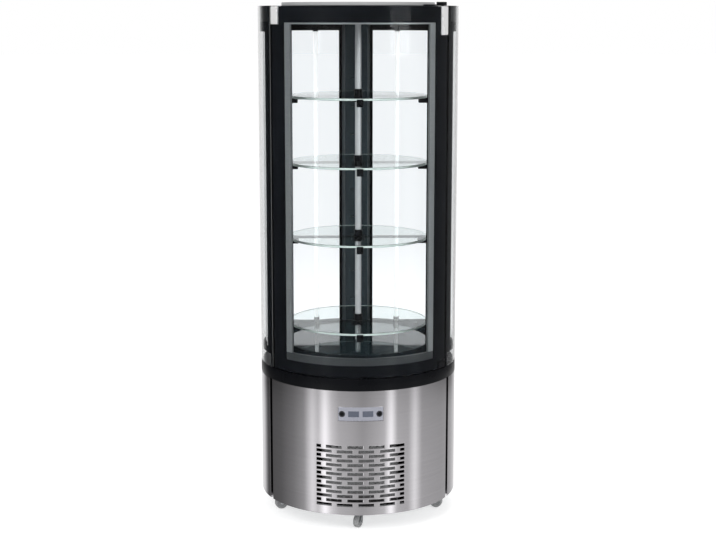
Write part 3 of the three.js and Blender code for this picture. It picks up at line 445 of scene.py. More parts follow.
def surfaceGroup(name, pattern):
    group = bpy.data.node_groups.new(name, "ShaderNodeTree")
    sockets = (
        ("Vector", "INPUT", "NodeSocketVector"), ("Dark Tone", "INPUT", "NodeSocketColor"),
        ("Light Tone", "INPUT", "NodeSocketColor"), ("Smooth", "INPUT", "NodeSocketFloat"),
        ("Rough", "INPUT", "NodeSocketFloat"), ("Colour", "OUTPUT", "NodeSocketColor"),
        ("Roughness", "OUTPUT", "NodeSocketFloat"), ("Height", "OUTPUT", "NodeSocketFloat"))
    for label, way, kind in sockets:
        group.interface.new_socket(label, in_out=way, socket_type=kind)
    enter = addNode(group, "NodeGroupInput").outputs
    leave = addNode(group, "NodeGroupOutput").inputs
    tone, rough, height = pattern(group, enter["Vector"])
    colour = mixOf(group, tone, enter["Dark Tone"], enter["Light Tone"], data_type="RGBA")
    feed(group, leave["Colour"], colour)
    feed(group, leave["Roughness"], rangeOf(group, rough, 0.0, 1.0, enter["Smooth"], enter["Rough"]))
    feed(group, leave["Height"], height)
    return group


groups = {
    "brushed": surfaceGroup("brushLines", brushLines),
    "cast": surfaceGroup("castSkin", castSkin),
    "zinc": surfaceGroup("spangle", spangle),
    "wiped": surfaceGroup("handMarks", handMarks),
}

# Finishes: pattern, dark and light tone, smooth and rough, metallic, height of the relief in mm, slot.
# The first finish of a slot is the one that the CAD nodes of that slot get.
finishTable = {
    "drumSteel": ("brushed", (0.55, 0.535, 0.555), (0.67, 0.652, 0.675), 0.09, 0.15, 1.0, 0.006, "brushed_drum_steel"),
    "brightSteel": ("brushed", (0.62, 0.63, 0.64), (0.76, 0.76, 0.77), 0.12, 0.22, 1.0, 0.008, "bright_steel"),
    "spindleSteel": ("brushed", (0.80, 0.82, 0.83), (0.90, 0.91, 0.92), 0.16, 0.26, 0.6, 0.004, "bright_steel"),
    "zincSteel": ("zinc", (0.42, 0.44, 0.46), (0.60, 0.62, 0.64), 0.28, 0.45, 1.0, 0.010, "zinc_steel"),
    "chrome": ("cast", (0.95, 0.95, 0.96), (0.98, 0.98, 0.98), 0.20, 0.28, 0.2, 0.0, "chrome"),
    "pinMetal": ("brushed", (0.70, 0.71, 0.72), (0.80, 0.81, 0.82), 0.15, 0.25, 1.0, 0.002, "chrome"),
    "finAluminium": ("brushed", (0.55, 0.56, 0.57), (0.70, 0.71, 0.72), 0.30, 0.45, 1.0, 0.010, "fin_aluminium"),
    "spacerStrip": ("brushed", (0.24, 0.26, 0.265), (0.34, 0.36, 0.365), 0.34, 0.44, 0.7, 0.004, "spacer_aluminium"),
    # the next finish is the spacer aluminium again, made much darker for the foot of the door spacer: painted shade
    "spacerDark": ("brushed", (0.036, 0.041, 0.043), (0.060, 0.066, 0.070), 0.34, 0.44, 0.5, 0.004, "spacer_aluminium"),
    "blackPaint": ("cast", (0.003, 0.0035, 0.0045), (0.005, 0.0055, 0.0075), 0.24, 0.34, 0.0, 0.001,
                   "black_painted_steel"),
    "printBlack": ("cast", (0.0035, 0.004, 0.005), (0.006, 0.007, 0.009), 0.35, 0.45, 0.0, 0.0, "black_painted_steel"),
    "ductPaint": ("cast", (0.027, 0.038, 0.044), (0.039, 0.052, 0.059), 0.4, 0.55, 0.0, 0.012, "black_painted_steel"),
    "compressorPaint": ("cast", (0.012, 0.012, 0.013), (0.025, 0.025, 0.027), 0.35, 0.5, 0.0, 0.02, "compressor_black"),
    "blackPlastic": ("cast", (0.005, 0.006, 0.007), (0.010, 0.011, 0.013), 0.34, 0.48, 0.0, 0.002, "black_plastic"),
    "ringPlastic": ("cast", (0.007, 0.010, 0.012), (0.012, 0.016, 0.019), 0.34, 0.48, 0.0, 0.002, "black_plastic"),
    "bezel": ("cast", (0.035, 0.036, 0.042), (0.055, 0.056, 0.064), 0.25, 0.35, 0.2, 0.0, "black_plastic"),
    "greyPlastic": ("cast", (0.36, 0.365, 0.37), (0.46, 0.465, 0.47), 0.35, 0.5, 0.0, 0.004, "grey_plastic"),
    "wellLiner": ("cast", (0.027, 0.038, 0.044), (0.039, 0.052, 0.059), 0.4, 0.55, 0.0, 0.012, "well_liner"),
    "glossDeck": ("wiped", (0.008, 0.015, 0.018), (0.012, 0.021, 0.026), 0.0, 0.03, 0.0, 0.0, "gloss_deck"),
    "lidGrey": ("cast", (0.50, 0.505, 0.51), (0.58, 0.585, 0.59), 0.35, 0.45, 0.0, 0.008, "lid_grey"),
    "tubeWhite": ("cast", (0.80, 0.81, 0.82), (0.88, 0.88, 0.88), 0.25, 0.35, 0.0, 0.002, "tube_white"),
    "membrane": ("cast", (0.42, 0.43, 0.50), (0.50, 0.51, 0.58), 0.26, 0.36, 0.3, 0.001, "membrane_silver"),
    "displayLens": ("cast", (0.10, 0.115, 0.155), (0.15, 0.165, 0.21), 0.08, 0.16, 0.0, 0.0, "membrane_silver"),
    "sealRubber": ("cast", (0.012, 0.012, 0.014), (0.022, 0.022, 0.024), 0.45, 0.6, 0.0, 0.01, "seal_rubber"),
    "clearGlass": ("wiped", (0.970, 0.979, 0.985), (0.980, 0.987, 0.992), 0.0, 0.0, 0.0, 0.0, "clear_glass"),
    "shelfGlass": ("wiped", (0.89, 0.948, 0.938), (0.91, 0.962, 0.952), 0.0, 0.0, 0.0, 0.0, "shelf_glass"),
    "polishedEdge": ("wiped", (0.50, 0.58, 0.545), (0.62, 0.69, 0.66), 0.12, 0.2, 0.0, 0.0, "shelf_glass"),
}
glassFinishes = ("clearGlass", "shelfGlass")
glassIor = 1.18
# how strongly each finish mirrors what stands around it, where that isn't the usual half
gloss = {"polishedEdge": 0.4, "ringPlastic": 0.0, "glossDeck": 1.0, "ductPaint": 0.12, "spacerDark": 0.3,
         "printBlack": 0.0, "blackPaint": 0.12, "blackPlastic": 0.12, "wellLiner": 0.12, "sealRubber": 0.1,
         "compressorPaint": 0.2}
glow = {"tubeWhite": 0.7}
reliefStrength = 0.6


def makeFinish(name, pattern, dark, light, smooth, rough, metallic, relief):
    material = bpy.data.materials.new(name)
    material.use_nodes = True
    tree = material.node_tree
    shader = tree.nodes["Principled BSDF"]
    place = addNode(tree, "ShaderNodeTexCoord")
    surface = addNode(tree, "ShaderNodeGroup", node_tree=groups[pattern])
    feedAll(tree, surface, {"Vector": place.outputs["Object"], "Dark Tone": (*dark, 1), "Light Tone": (*light, 1),
                            "Smooth": smooth, "Rough": rough})
    values = {"Base Color": surface.outputs["Colour"], "Roughness": surface.outputs["Roughness"],
              "Metallic": metallic, "Specular IOR Level": gloss.get(name, 0.5)}
    if name in glow:
        values.update({"Emission Color": grey(1), "Emission Strength": glow[name]})
    if name in glassFinishes:
        # shadow rays pass straight through glass, tinted by it
        values.update({"Transmission Weight": 1.0, "IOR": glassIor})
        clear = addNode(tree, "ShaderNodeBsdfTransparent")
        tree.links.new(surface.outputs["Colour"], clear.inputs["Color"])
        path = addNode(tree, "ShaderNodeLightPath")
        blendShaders(tree, path.outputs["Is Shadow Ray"], shader, clear)
    if relief:
        bump = addNode(tree, "ShaderNodeBump")
        bump.inputs["Strength"].default_value = reliefStrength
        bump.inputs["Distance"].default_value = relief * metre
        tree.links.new(surface.outputs["Height"], bump.inputs["Height"])
        values["Normal"] = bump.outputs["Normal"]
    feedAll(tree, shader, values)
    return material


finishes = {name: makeFinish(name, *values[:-1]) for name, values in finishTable.items()}
slotOf = {name: values[-1] for name, values in finishTable.items()}
print("finishes made:", len(finishes))

for row in frame["record"]["materials"]:
    own = [name for name, slotName in slotOf.items() if slotName == row["slot"]]
    for node in frame["nodes"].values():
        for place in node.material_slots:
            if place.material and place.material.name.split(".")[0] == row["slot"] and own:
                place.material = finishes[own[0]]


# Drum

drum = {"radius": 340.0, "wall": 1.5, "bottom": 60.0, "top": 486.7, "foldDeep": 16.0, "foldTurn": 0.25}
grille = {"half": 61.3, "wide": 304.0, "slotWide": 53.0, "slotHigh": 9.5, "pitch": 72.0, "rows": 14,
          "firstRow": 90.0, "rowPitch": 15.4, "plateHalf": 12.72, "plateBottom": 385.5, "plateTop": 432.5}
rearShell = {"from": 64.33, "to": 295.67, "ventWide": 90.0, "ventHigh": 7.0, "ventRows": 6, "ventBottom": 120.0,
             "ventPitch": 24.0, "ventCentres": (170.0, 190.0),
             "inlet": (140.85, 149.15, 119.5, 148.5)}
seam = {"inner": 320.5, "outer": 322.5, "from": 60.4, "to": 65.2, "bottom": 92.0, "top": 486.0}
hingePlace = (271.96, -186.91)
waistRing = {"outline": [(336, 487), (340, 487), (340, 527), (300, 527), (300, 521), (336, 521)], "soft": 1.5,
             "pin": 4.0, "pinLow": 525.0, "pinTop": 541.0}


def drumSheet(g, span, openings):
    # a sheet with its openings, and a fold at each upright edge
    heights = (g["bottom"], g["top"])
    sheet = curvedWall(g["radius"] - g["wall"], g["radius"], span, heights, openings, **sheetEdge)
    edges = ((span[0], span[0] + g["foldTurn"]), (span[1] - g["foldTurn"], span[1]))
    return [sheet] + [curvedWall(g["radius"] - g["foldDeep"], g["radius"] - g["wall"], edge, heights, (), **foldEdge)
                      for edge in edges]


def makeFrontPanel(g):
    # a brick pattern: even rows begin at the left edge and odd rows at the right edge, each ends in a stub
    row = np.arange(g["rows"])[:, None]
    begin = np.arange(0.0, g["wide"], g["pitch"])[None, :]
    end = np.minimum(begin + g["slotWide"], g["wide"])
    odd = row % 2 == 1
    left = np.where(odd, g["wide"] - end, begin) - g["wide"] / 2
    right = np.where(odd, g["wide"] - begin, end) - g["wide"] / 2
    low = g["firstRow"] + g["rowPitch"] * row + 0 * left
    turn = 180 / np.pi / drum["radius"]
    slots = np.stack([left * turn, right * turn, low, low + g["slotHigh"]], -1).reshape(-1, 4).tolist()
    plate = (-g["plateHalf"], g["plateHalf"], g["plateBottom"], g["plateTop"])
    shells = drumSheet(drum, (-g["half"], g["half"]), slots + [plate])
    makeWallPiece("drumFrontPanel", shells, "drumSteel", "cabinet", ["front_panel"])


def makeRearShell(g):
    half = math.degrees(g["ventWide"] / 2 / drum["radius"])
    lows = [g["ventBottom"] + g["ventPitch"] * row for row in range(g["ventRows"])]
    vents = [(centre - half, centre + half, low, low + g["ventHigh"]) for low in lows for centre in g["ventCentres"]]
    shells = drumSheet(drum, (g["from"], g["to"]), vents + [g["inlet"]])
    makeWallPiece("drumRearShell", shells, "drumSteel", "cabinet", ["rear_shell"])


def makeSeams(g):
    # a dark strip closes the joint between the front panel and the rear shell on each side
    strips = [wallOf(g, fineEdge, span=spanOf(g, side)) for side in (1, -1)]
    makeWallPiece("drumSeams", strips, "printBlack", "cabinet")


def makeWaistRing(g):
    ring = turned(g["outline"], g["soft"], steps=160)
    pin = roundBar(0, g["pin"], g["pinLow"], g["pinTop"], 0.8, hingePlace, 24)
    makePiece("waistRing", [ring, pin], "blackPaint", "cabinet", ["waist_ring"], sharp=20)


makeFrontPanel(grille)
makeRearShell(rearShell)
makeSeams(seam)
makeWaistRing(waistRing)
print("drum made")

# Deck, return grille, posts, rear duct, roof, lid and light tubes

deck = {"bore": 13.0, "radius": 245.4, "bottom": 584.3, "top": 588.0}
returnRing = {"inner": 246.1, "outer": 304.0, "bottom": 580.0, "top": 587.7, "soft": 0.5, "slots": 18,
              "slotTurn": 10.0, "slotIn": 251.1, "slotOut": 266.1, "ledgeIn": 238.1, "ledgeOut": 250.0,
              "ledgeTop": 583.4}
post = {"inner": 304.0, "outer": 333.4, "from": 60.3, "to": 63.8, "bottom": 527.3, "top": 1741.7}
postFlange = {"inner": 296.0, "outer": 304.0, "from": 47.9, "to": 63.8, "bottom": 588.0, "top": 1689.7}
# the duct's layers run from the inside out, each (inner, outer, half its span, bottom, top); the first has the slots
duct = {"middle": 180.0, "slots": 10, "slotWide": 44.0, "slotHigh": 8.0,
        "layers": ((258.0, 270.0, 9.0, 588.0, 1689.7), (270.0, 304.0, 9.0, 588.0, 1689.7),
                   (304.5, 333.4, 9.0, 527.3, 1741.7), (333.0, 340.0, 4.8, 527.3, 1741.7))}
roof = {"outline": [(11, 1684), (24, 1684), (24, 1690), (304, 1690), (304, 1741.7), (11, 1741.7)], "soft": 1.0}
roofBrim = {"inner": 300.0, "outer": 333.4, "from": 64.2, "to": 170.9, "bottom": 1690.0, "top": 1741.7}
lid = {"radius": 260.0, "bottom": 1742.0, "top": 1754.0}
tubes = {"orbit": 285.0, "angle": 149.0, "radius": 7.0, "cap": 10.0, "low": 610.0, "high": 1653.7, "gap": 0.1,
         "bottom": 588.0, "top": 1689.7}


def makeDeck(g):
    disc = roundBar(g["bore"], g["radius"], g["bottom"], g["top"], steps=160)
    makePiece("deckPlate", [disc], "glossDeck", "cabinet", ["deck"])


def makeReturnRing(g):
    # a flat ring of cells: u runs round the ring and v outwards
    pitch = 360 / g["slots"]
    starts = np.arange(g["slots"]) * pitch + (pitch - g["slotTurn"]) / 2
    openings = [(a, a + g["slotTurn"], g["slotIn"], g["slotOut"]) for a in starts]
    across = lines((0, 360), [x for o in openings for x in o[:2]], 3.0, 0.2)
    out = lines((g["inner"], g["outer"]), (g["slotIn"], g["slotOut"]), 20, 0.8)
    ring = cellWall(
        across, out, cellsOn(across, out, openings),
        lambda u, v, border: around(v, u, g["top"] - g["soft"] * border),
        lambda u, v, border: around(v, u, g["bottom"] + 0 * u), closed=True)
    ledge = roundBar(g["ledgeIn"], g["ledgeOut"], g["bottom"], g["ledgeTop"], 0.4)
    makePiece("returnGrille", [ring, ledge], "ringPlastic", "cabinet", ["return_grille"])


def makePost(name, side, node):
    shells = [wallOf(g, stoutEdge, span=spanOf(g, side)) for g in (post, postFlange)]
    makeWallPiece(name, shells, "printBlack", "cabinet", [node])


def makeDuct(g):
    inner, outer, half, bottom, top = g["layers"][0]
    centres = np.linspace(bottom, top, g["slots"] + 2)[1:-1]
    turn, rise = math.degrees(g["slotWide"] / 2 / inner), g["slotHigh"] / 2
    openings = [(g["middle"] - turn, g["middle"] + turn, z - rise, z + rise) for z in centres]
    shells = []
    for inner, outer, half, bottom, top in g["layers"]:
        span = (g["middle"] - half, g["middle"] + half)
        shells.append(curvedWall(inner, outer, span, (bottom, top), openings, **stoutEdge))
        openings = ()
    makePiece("rearDuct", shells, "ductPaint", "cabinet", ["rear_duct"])


def makeRoof(g):
    brims = [wallOf(roofBrim, stoutEdge, span=spanOf(roofBrim, side)) for side in (1, -1)]
    makePiece("roofPanel", [turned(g["outline"], g["soft"], steps=160)] + brims, "blackPlastic", "cabinet", ["roof"])


def makeLid(g):
    disc = roundBar(0, g["radius"], g["bottom"], g["top"], 2.0, steps=160)
    makePiece("lidDisc", [disc], "lidGrey", "cabinet", ["lid"])


def makeTube(name, g, side, node):
    centre = around(g["orbit"], side * g["angle"], 0.0)
    tube = roundBar(0, g["radius"], g["low"], g["high"], 0.2, centre, 32)
    makePiece(name, [tube], "tubeWhite", "cabinet", [node])
    ends = ((g["bottom"], g["low"] - g["gap"]), (g["high"] + g["gap"], g["top"]))
    caps = [roundBar(0, g["cap"], low, high, 1.5, centre, 32) for low, high in ends]
    makePiece(name + "Caps", caps, "printBlack", "cabinet")


makeDeck(deck)
makeReturnRing(returnRing)
makePost("postRight", 1, "right_post")
makePost("postLeft", -1, "left_post")
makeDuct(duct)
makeRoof(roof)
makeLid(lid)
makeTube("lightTubeRight", tubes, 1, "light_tube_right")
makeTube("lightTubeLeft", tubes, -1, "light_tube_left")
print("body made")

# Side glass

sidePane = {"outer": 340.0, "inner": 334.0, "from": 59.81, "to": 175.0, "bottom": 527.3, "top": 1742.0}
sideInner = {"outer": 324.3, "inner": 320.3, "from": 64.2, "to": 170.8, "bottom": 570.6, "top": 1687.4}
sideSpacer = {"outer": 333.4, "inner": 324.8, "from": 64.2, "to": 170.8, "bottom": 570.6, "top": 1689.6,
              "windowFrom": 68.41, "windowTo": 169.28, "windowBottom": 586.6, "windowTop": 1657.4}

for side, word, plain in ((1, "Right", "right"), (-1, "Left", "left")):
    for part, g in (("outer", sidePane), ("inner", sideInner)):
        pane = wallOf(g, paneEdge, span=spanOf(g, side))
        makeWallPiece(part + "Pane" + word, [pane], "clearGlass", "cabinet", ["%s_%s_pane" % (plain, part)])
    g = sideSpacer
    window = spanOf(g, side, "windowFrom", "windowTo") + (g["windowBottom"], g["windowTop"])
    spacer = wallOf(g, fineEdge, [window], spanOf(g, side))
    makeWallPiece("spacer" + word, [spacer], "printBlack", "cabinet", [plain + "_spacer"])

# Door

doorPane = {"outer": 340.0, "inner": 334.0, "half": 59.2, "bottom": 529.0, "top": 1740.0}
doorInner = {"outer": 324.3, "inner": 320.3, "half": 47.2, "bottom": 570.6, "top": 1687.4}
doorSpacer = {"outer": 333.4, "inner": 324.8, "half": 47.2, "bottom": 596.6, "top": 1687.4,
              "window": 42.99, "windowBottom": 595.6, "windowTop": 1682.4}
spacerFoot = {"outer": 333.4, "inner": 324.8, "half": 47.2, "bottom": 570.6, "top": 596.5}
doorFrame = {"outer": 333.4, "inner": 320.6, "half": 59.03, "bottom": 530.0, "top": 1739.0,
             "window": 47.87, "windowBottom": 569.7, "windowTop": 1688.3}
doorSeal = {"outer": 320.1, "inner": 304.5, "half": 51.0, "wide": 13.0, "wideAt": 320.0, "bottom": 557.0,
            "top": 1710.0}
hingeTop = {"from": 52.5, "to": 59.2, "bottom": 1647.0, "top": 1740.0, "inner": 320.6, "outer": 340.0}
hingeBottom = {"from": 51.5, "to": 59.2, "bottom": 529.0, "top": 556.0, "inner": 320.6, "outer": 340.0}
catch = {"from": -59.2, "to": -52.5, "bottom": 1682.0, "top": 1740.0, "inner": 320.6, "outer": 340.0}
fittingRoom = 0.5
topPivot = {"from": 53.3, "to": 57.7, "inner": 262.0, "step": 312.0, "outer": 338.8, "bottom": 1742.0, "webTop": 1746.0,
            "top": 1754.0, "pin": 4.0, "pinBottom": 1715.0, "pinTop": 1744.0}


def windowOf(g):
    return (-g["window"], g["window"], g["windowBottom"], g["windowTop"])


def makeDoor():
    turn = math.degrees(fittingRoom / doorPane["outer"])
    notches = [(g["from"] - turn, g["to"] + turn, g["bottom"] - fittingRoom, g["top"] + fittingRoom)
               for g in (hingeTop, hingeBottom, catch)]
    rows = (
        ("doorOuterPane", doorPane, paneEdge, notches, "clearGlass", ["door_outer_pane"]),
        ("doorInnerPane", doorInner, paneEdge, (), "clearGlass", ["door_inner_pane"]),
        ("doorSpacer", doorSpacer, fineEdge, [windowOf(doorSpacer)], "spacerStrip", ["door_spacer"]),
        # the spacer's foot takes a much darker copy of the spacer aluminium, painted shade along the bottom of the door
        ("doorSpacerFoot", spacerFoot, fineEdge, (), "spacerDark", ()),
        ("doorBorder", doorFrame, borderEdge, [windowOf(doorFrame)] + notches, "printBlack", ["door_frame"]),
    )
    for name, g, edge, openings, finish, stands in rows:
        makeWallPiece(name, [wallOf(g, edge, openings)], finish, "door", stands)
    g = doorSeal
    wide = math.degrees(g["wide"] / g["wideAt"])
    window = (-g["half"] + wide, g["half"] - wide, g["bottom"] + g["wide"], g["top"] - g["wide"])
    makePiece("doorSeal", [wallOf(g, sealEdge, [window])], "sealRubber", "door", ["door_seal"])
    makePiece("topHinge", [wallOf(hingeTop, blockEdge)], "chrome", "door", ["top_hinge"])
    makePiece("bottomHinge", [wallOf(hingeBottom, blockEdge)], "blackPaint", "door", ["bottom_hinge"])
    makePiece("doorCatch", [wallOf(catch, blockEdge)], "chrome", "door", ["door_catch"])


def makeTopPivot(g):
    cap = wallOf({**g, "inner": g["step"]}, capEdge)
    web = wallOf({**g, "outer": g["step"] + 1, "top": g["webTop"]}, webEdge)
    pin = roundBar(0, g["pin"], g["pinBottom"], g["pinTop"], 0.6, hingePlace, 24)
    makePiece("topPivot", [cap, web, pin], "blackPlastic", "cabinet", ["top_pivot"])


makeDoor()
makeTopPivot(topPivot)
print("glass body and door made")

# Carousel

spindle = {"outline": [(0, 393.7), (4, 393.7), (4, 411.7), (16, 411.7), (16, 445.7), (10.5, 445.7), (10.5, 1713.7),
                       (0, 1713.7)], "soft": 1.2}
shelf = {"tops": (1443.0, 1216.0, 957.0, 659.0), "thick": 8.0, "bore": 14.5, "radius": 240.0, "soft": 1.2,
         "rimIn": 239.5, "rimOut": 240.2, "rimInset": 0.8}
spider = {"hub": 24.0, "hubHigh": 16.0, "neck": 14.0, "neckRise": 20.0, "bore": 11.0, "armWide": 12.0, "armHigh": 8.0,
          "armOut": 234.8, "cupIn": 206.8, "cupOut": 244.8, "cupWide": 22.0, "cupHigh": 20.0, "lipIn": 240.3,
          "lipDrop": 6.0, "lipRise": 5.0, "gap": 0.3}


def makeShelf(number, g):
    top = g["tops"][number - 1]
    low = top - g["thick"]
    disc = roundBar(g["bore"], g["radius"], low, top, g["soft"], steps=160)
    makePiece("shelf%d" % number, [disc], "shelfGlass", "carousel", ["shelf_%d" % number], sharp=50)
    rim = roundBar(g["rimIn"], g["rimOut"], low + g["rimInset"], top - g["rimInset"], 0.2, steps=160)
    makePiece("shelfRim%d" % number, [rim], "polishedEdge", "carousel", rounded=True)


def makeSpider(number, shelfTop, g):
    under = shelfTop - shelf["thick"]
    top, neckTop = under - g["gap"], shelfTop + g["neckRise"]
    hubLow = top - g["hubHigh"]
    shells = [turned([(g["bore"], hubLow), (g["hub"], hubLow), (g["hub"], top), (g["neck"], top),
                      (g["neck"], neckTop), (g["bore"], neckTop)], 1.0, steps=48)]
    arm, cup = g["armWide"] / 2, g["cupWide"] / 2
    bars = [block((g["hub"] / 2, -arm, top - g["armHigh"]), (g["armOut"], arm, top), 1.2),
            block((g["cupIn"], -cup, top - g["cupHigh"]), (g["cupOut"], cup, top), 2.5),
            block((g["lipIn"], -cup, top - g["lipDrop"]), (g["cupOut"], cup, under + g["lipRise"]), 1.0)]
    for turn in (0, 90, 180, 270):
        shells += [moved(bar, turnedBy(turn)) for bar in bars]
    makePiece("shelfSpider%d" % number, shells, "blackPaint", "carousel", ["shelf_spider_%d" % number])


makePiece("spindleTube", [turned(spindle["outline"], spindle["soft"], steps=48)], "spindleSteel", "carousel",
          ["spindle"])
for number in (1, 2, 3, 4):
    makeShelf(number, shelf)
    makeSpider(number, shelf["tops"][number - 1], spider)
print("carousel made")

# Castors

castor = {"orbit": 270.0, "wheel": 22.5, "trail": 16.0, "axle": 3.0, "plate": 20.0, "plateLow": 58.5,
          "plateHigh": 61.5, "stem": 5.0, "stemLow": 59.5, "stemTop": 80.3,
          "race": [(0, 53.0), (13, 53.0), (16, 55.5), (16, 59.5), (0, 59.5)],
          "legIn": 10.0, "legOut": 12.5, "legWide": 18.0, "legTop": 60.0, "legSoft": 0.5, "legShrink": 0.975,
          "tread": [(4.0, -7.5), (13.5, -7.5), (15.0, -9.0), (20.5, -9.0), (22.5, -7.0)]}
# where each castor stands and how far its fork is turned
castorPlaces = {"front": (0, 62), "right": (72, 160), "rear_right": (144, 35), "rear_left": (216, 120),
                "left": (288, 20)}


def aboutAxle(g, radius, turn, offset):
    # a point about the level axle: (r cos t - trail, offset, r sin t + wheel's radius)
    return np.stack(np.broadcast_arrays(
        radius * np.cos(turn) - g["trail"], offset, radius * np.sin(turn) + g["wheel"]), -1)


def makeCastor(word, angle, turn, g):
    place = turnedBy(turn, around(g["orbit"], float(angle), 0.0))
    shells = [roundBar(0, g["plate"], g["plateLow"], g["plateHigh"], steps=48),
              roundBar(0, g["stem"], g["stemLow"], g["stemTop"], steps=24),
              turned(g["race"], steps=40)]
    # a leg is an outline in the wheel's plane, from the plate down to a round end about the axle
    end = aboutAxle(g, 2 * g["axle"], np.radians(np.linspace(135, 315, 13)), 0.0)[:, [0, 2]]
    half, soft, shrunk = g["legWide"] / 2, g["legSoft"], g["legShrink"]
    outline = np.concatenate([[(-half, g["legTop"])], end, [(half, g["legTop"])]])
    middle = outline.mean(0)
    for low, high in ((g["legIn"], g["legOut"]), (-g["legOut"], -g["legIn"])):
        rings = []
        for shrink, y in ((shrunk, low), (1, low + soft), (1, high - soft), (shrunk, high)):
            x, z = ((outline - middle) * shrink + middle).T
            rings.append(np.column_stack([x, np.full(len(x), y), z]))
        shells.append(carried(rings))
    turns = np.radians(np.arange(0, 360, 15))
    shells.append(carried([aboutAxle(g, g["axle"], turns, y) for y in (-g["legOut"], g["legOut"])]))
    title = word.replace("_", " ").title().replace(" ", "")
    makePiece("castorFork" + title, [moved(shell, place) for shell in shells], "zincSteel", "castor_" + word,
              ["castor_fork_" + word])
    # the wheel is a profile of (radius, offset), the same on both sides, carried about the axle
    profile = softened(g["tread"] + [(r, -y) for r, y in g["tread"][::-1]], 0.8)
    turns = np.radians(np.linspace(0, 360, 48, endpoint=False))[:, None]
    points = aboutAxle(g, profile[None, :, 0], turns, profile[None, :, 1]).reshape(-1, 3)
    makePiece("castorWheel" + title, [(place(points), [ringFaces(len(turns), len(profile))])], "greyPlastic",
              "wheel_" + word, ["castor_wheel_" + word])


for word, (angle, turn) in castorPlaces.items():
    makeCastor(word, angle, turn, castor)
print("castors made")

# Control plate, its buttons, and the mains inlet

control = {"face": 339.5, "back": 336.1, "half": 12.64, "bottom": 386.0, "top": 432.0, "middle": 409.0,
           "display": (18.0, 10.0), "displayAt": 24.0, "lensBack": 336.5, "lensFace": 338.6, "buttonAt": 62.5,
           "hole": 7.2, "lipOut": 338.2, "lipHalf": 13.31, "lipWide": 4.0, "room": 0.1, "roomTurn": 0.02,
           "housing": ((-50.0, -333.8, 387.0), (50.0, -299.8, 431.0)),
           "bezel": [(6.9, 336.3), (7.15, 336.3), (7.15, 339.3), (10.6, 339.3), (10.6, 339.8), (9.4, 340.3),
                     (6.9, 340.0)],
           "knob": [(0, 331.9), (8.5, 331.9), (8.5, 334.9), (6.5, 334.9), (6.5, 339.7), (4.55, 340.7), (0, 340.9)]}
inlet = {"angle": 145.0, "level": 134.0, "wide": 48.0, "high": 28.0, "face": 338.4, "back": 314.4, "floor": 322.4,
         "wall": 6.0, "flange": 6.0, "flangeLow": 333.2, "flangeHigh": 336.2, "gap": 0.02, "room": 0.05,
         "pin": (2.0, 6.0, 10.0), "pinPitch": 9.0}


def makeControl(g):
    degree = 180 / math.pi / drum["radius"]

    def opening(x, half, rise):
        return ((x - half) * degree, (x + half) * degree, g["middle"] - rise, g["middle"] + rise)

    displays = [opening(side * g["displayAt"], *g["display"]) for side in (-1, 1)]
    holes = [opening(side * g["buttonAt"], g["hole"], g["hole"]) for side in (-1, 1)]
    face = curvedWall(g["back"], g["face"], (-g["half"], g["half"]), (g["bottom"], g["top"]), displays + holes,
                      **plateEdge)
    gap = (-g["half"] - g["roomTurn"], g["half"] + g["roomTurn"], g["bottom"] - g["room"], g["top"] + g["room"])
    lip = curvedWall(g["back"], g["lipOut"], (-g["lipHalf"], g["lipHalf"]),
                     (g["bottom"] - g["lipWide"], g["top"] + g["lipWide"]), [gap], **thinEdge)
    makeWallPiece("controlFace", [face, lip, block(*g["housing"], 2.0)], "membrane", "cabinet", ["control_plate"])
    lenses = [curvedWall(g["lensBack"], g["lensFace"], (left, right), (low, high), (), **thinEdge)
              for left, right, low, high in displays]
    makeWallPiece("displayLenses", lenses, "displayLens", "cabinet")
    places = [facing(side * g["buttonAt"] * degree, g["middle"]) for side in (-1, 1)]
    bezels = [moved(turned(g["bezel"], 0.25, steps=64), place) for place in places]
    makePiece("buttonBezels", bezels, "bezel", "cabinet")
    for place, word in zip(places, ("left", "right")):
        makePiece("pushButton" + word.capitalize(), [moved(turned(g["knob"], 0.5, steps=64), place)], "blackPlastic",
                  "button_%s_key" % word, ["button_" + word])


def makeInlet(g):
    x, y = g["wide"] / 2, g["high"] / 2
    wall, flange, room = g["wall"], 2 * g["flange"], g["room"]
    place = facing(g["angle"], g["level"])
    shells = [
        plateWithHoles(g["wide"], g["high"], g["floor"], g["face"], [(-x + wall, x - wall, -y + wall, y - wall)]),
        block((-x, -y, g["back"]), (x, y, g["floor"] - g["gap"]), 0.8),
        plateWithHoles(g["wide"] + flange, g["high"] + flange, g["flangeLow"], g["flangeHigh"],
                       [(-x - room, x + room, -y - room, y + room)]),
    ]
    makePiece("inletSocket", [moved(shell, place) for shell in shells], "blackPlastic", "cabinet", ["mains_inlet"])
    wide, high, long = g["pin"]
    pins = [block((i * g["pinPitch"] - wide / 2, -high / 2, g["floor"]),
                  (i * g["pinPitch"] + wide / 2, high / 2, g["floor"] + long), 0.4) for i in (-1, 0, 1)]
    makePiece("inletPins", [moved(pin, place) for pin in pins], "pinMetal", "cabinet")


makeControl(control)
makeInlet(inlet)
print("control plate and inlet made")


# Light, floor and surroundings

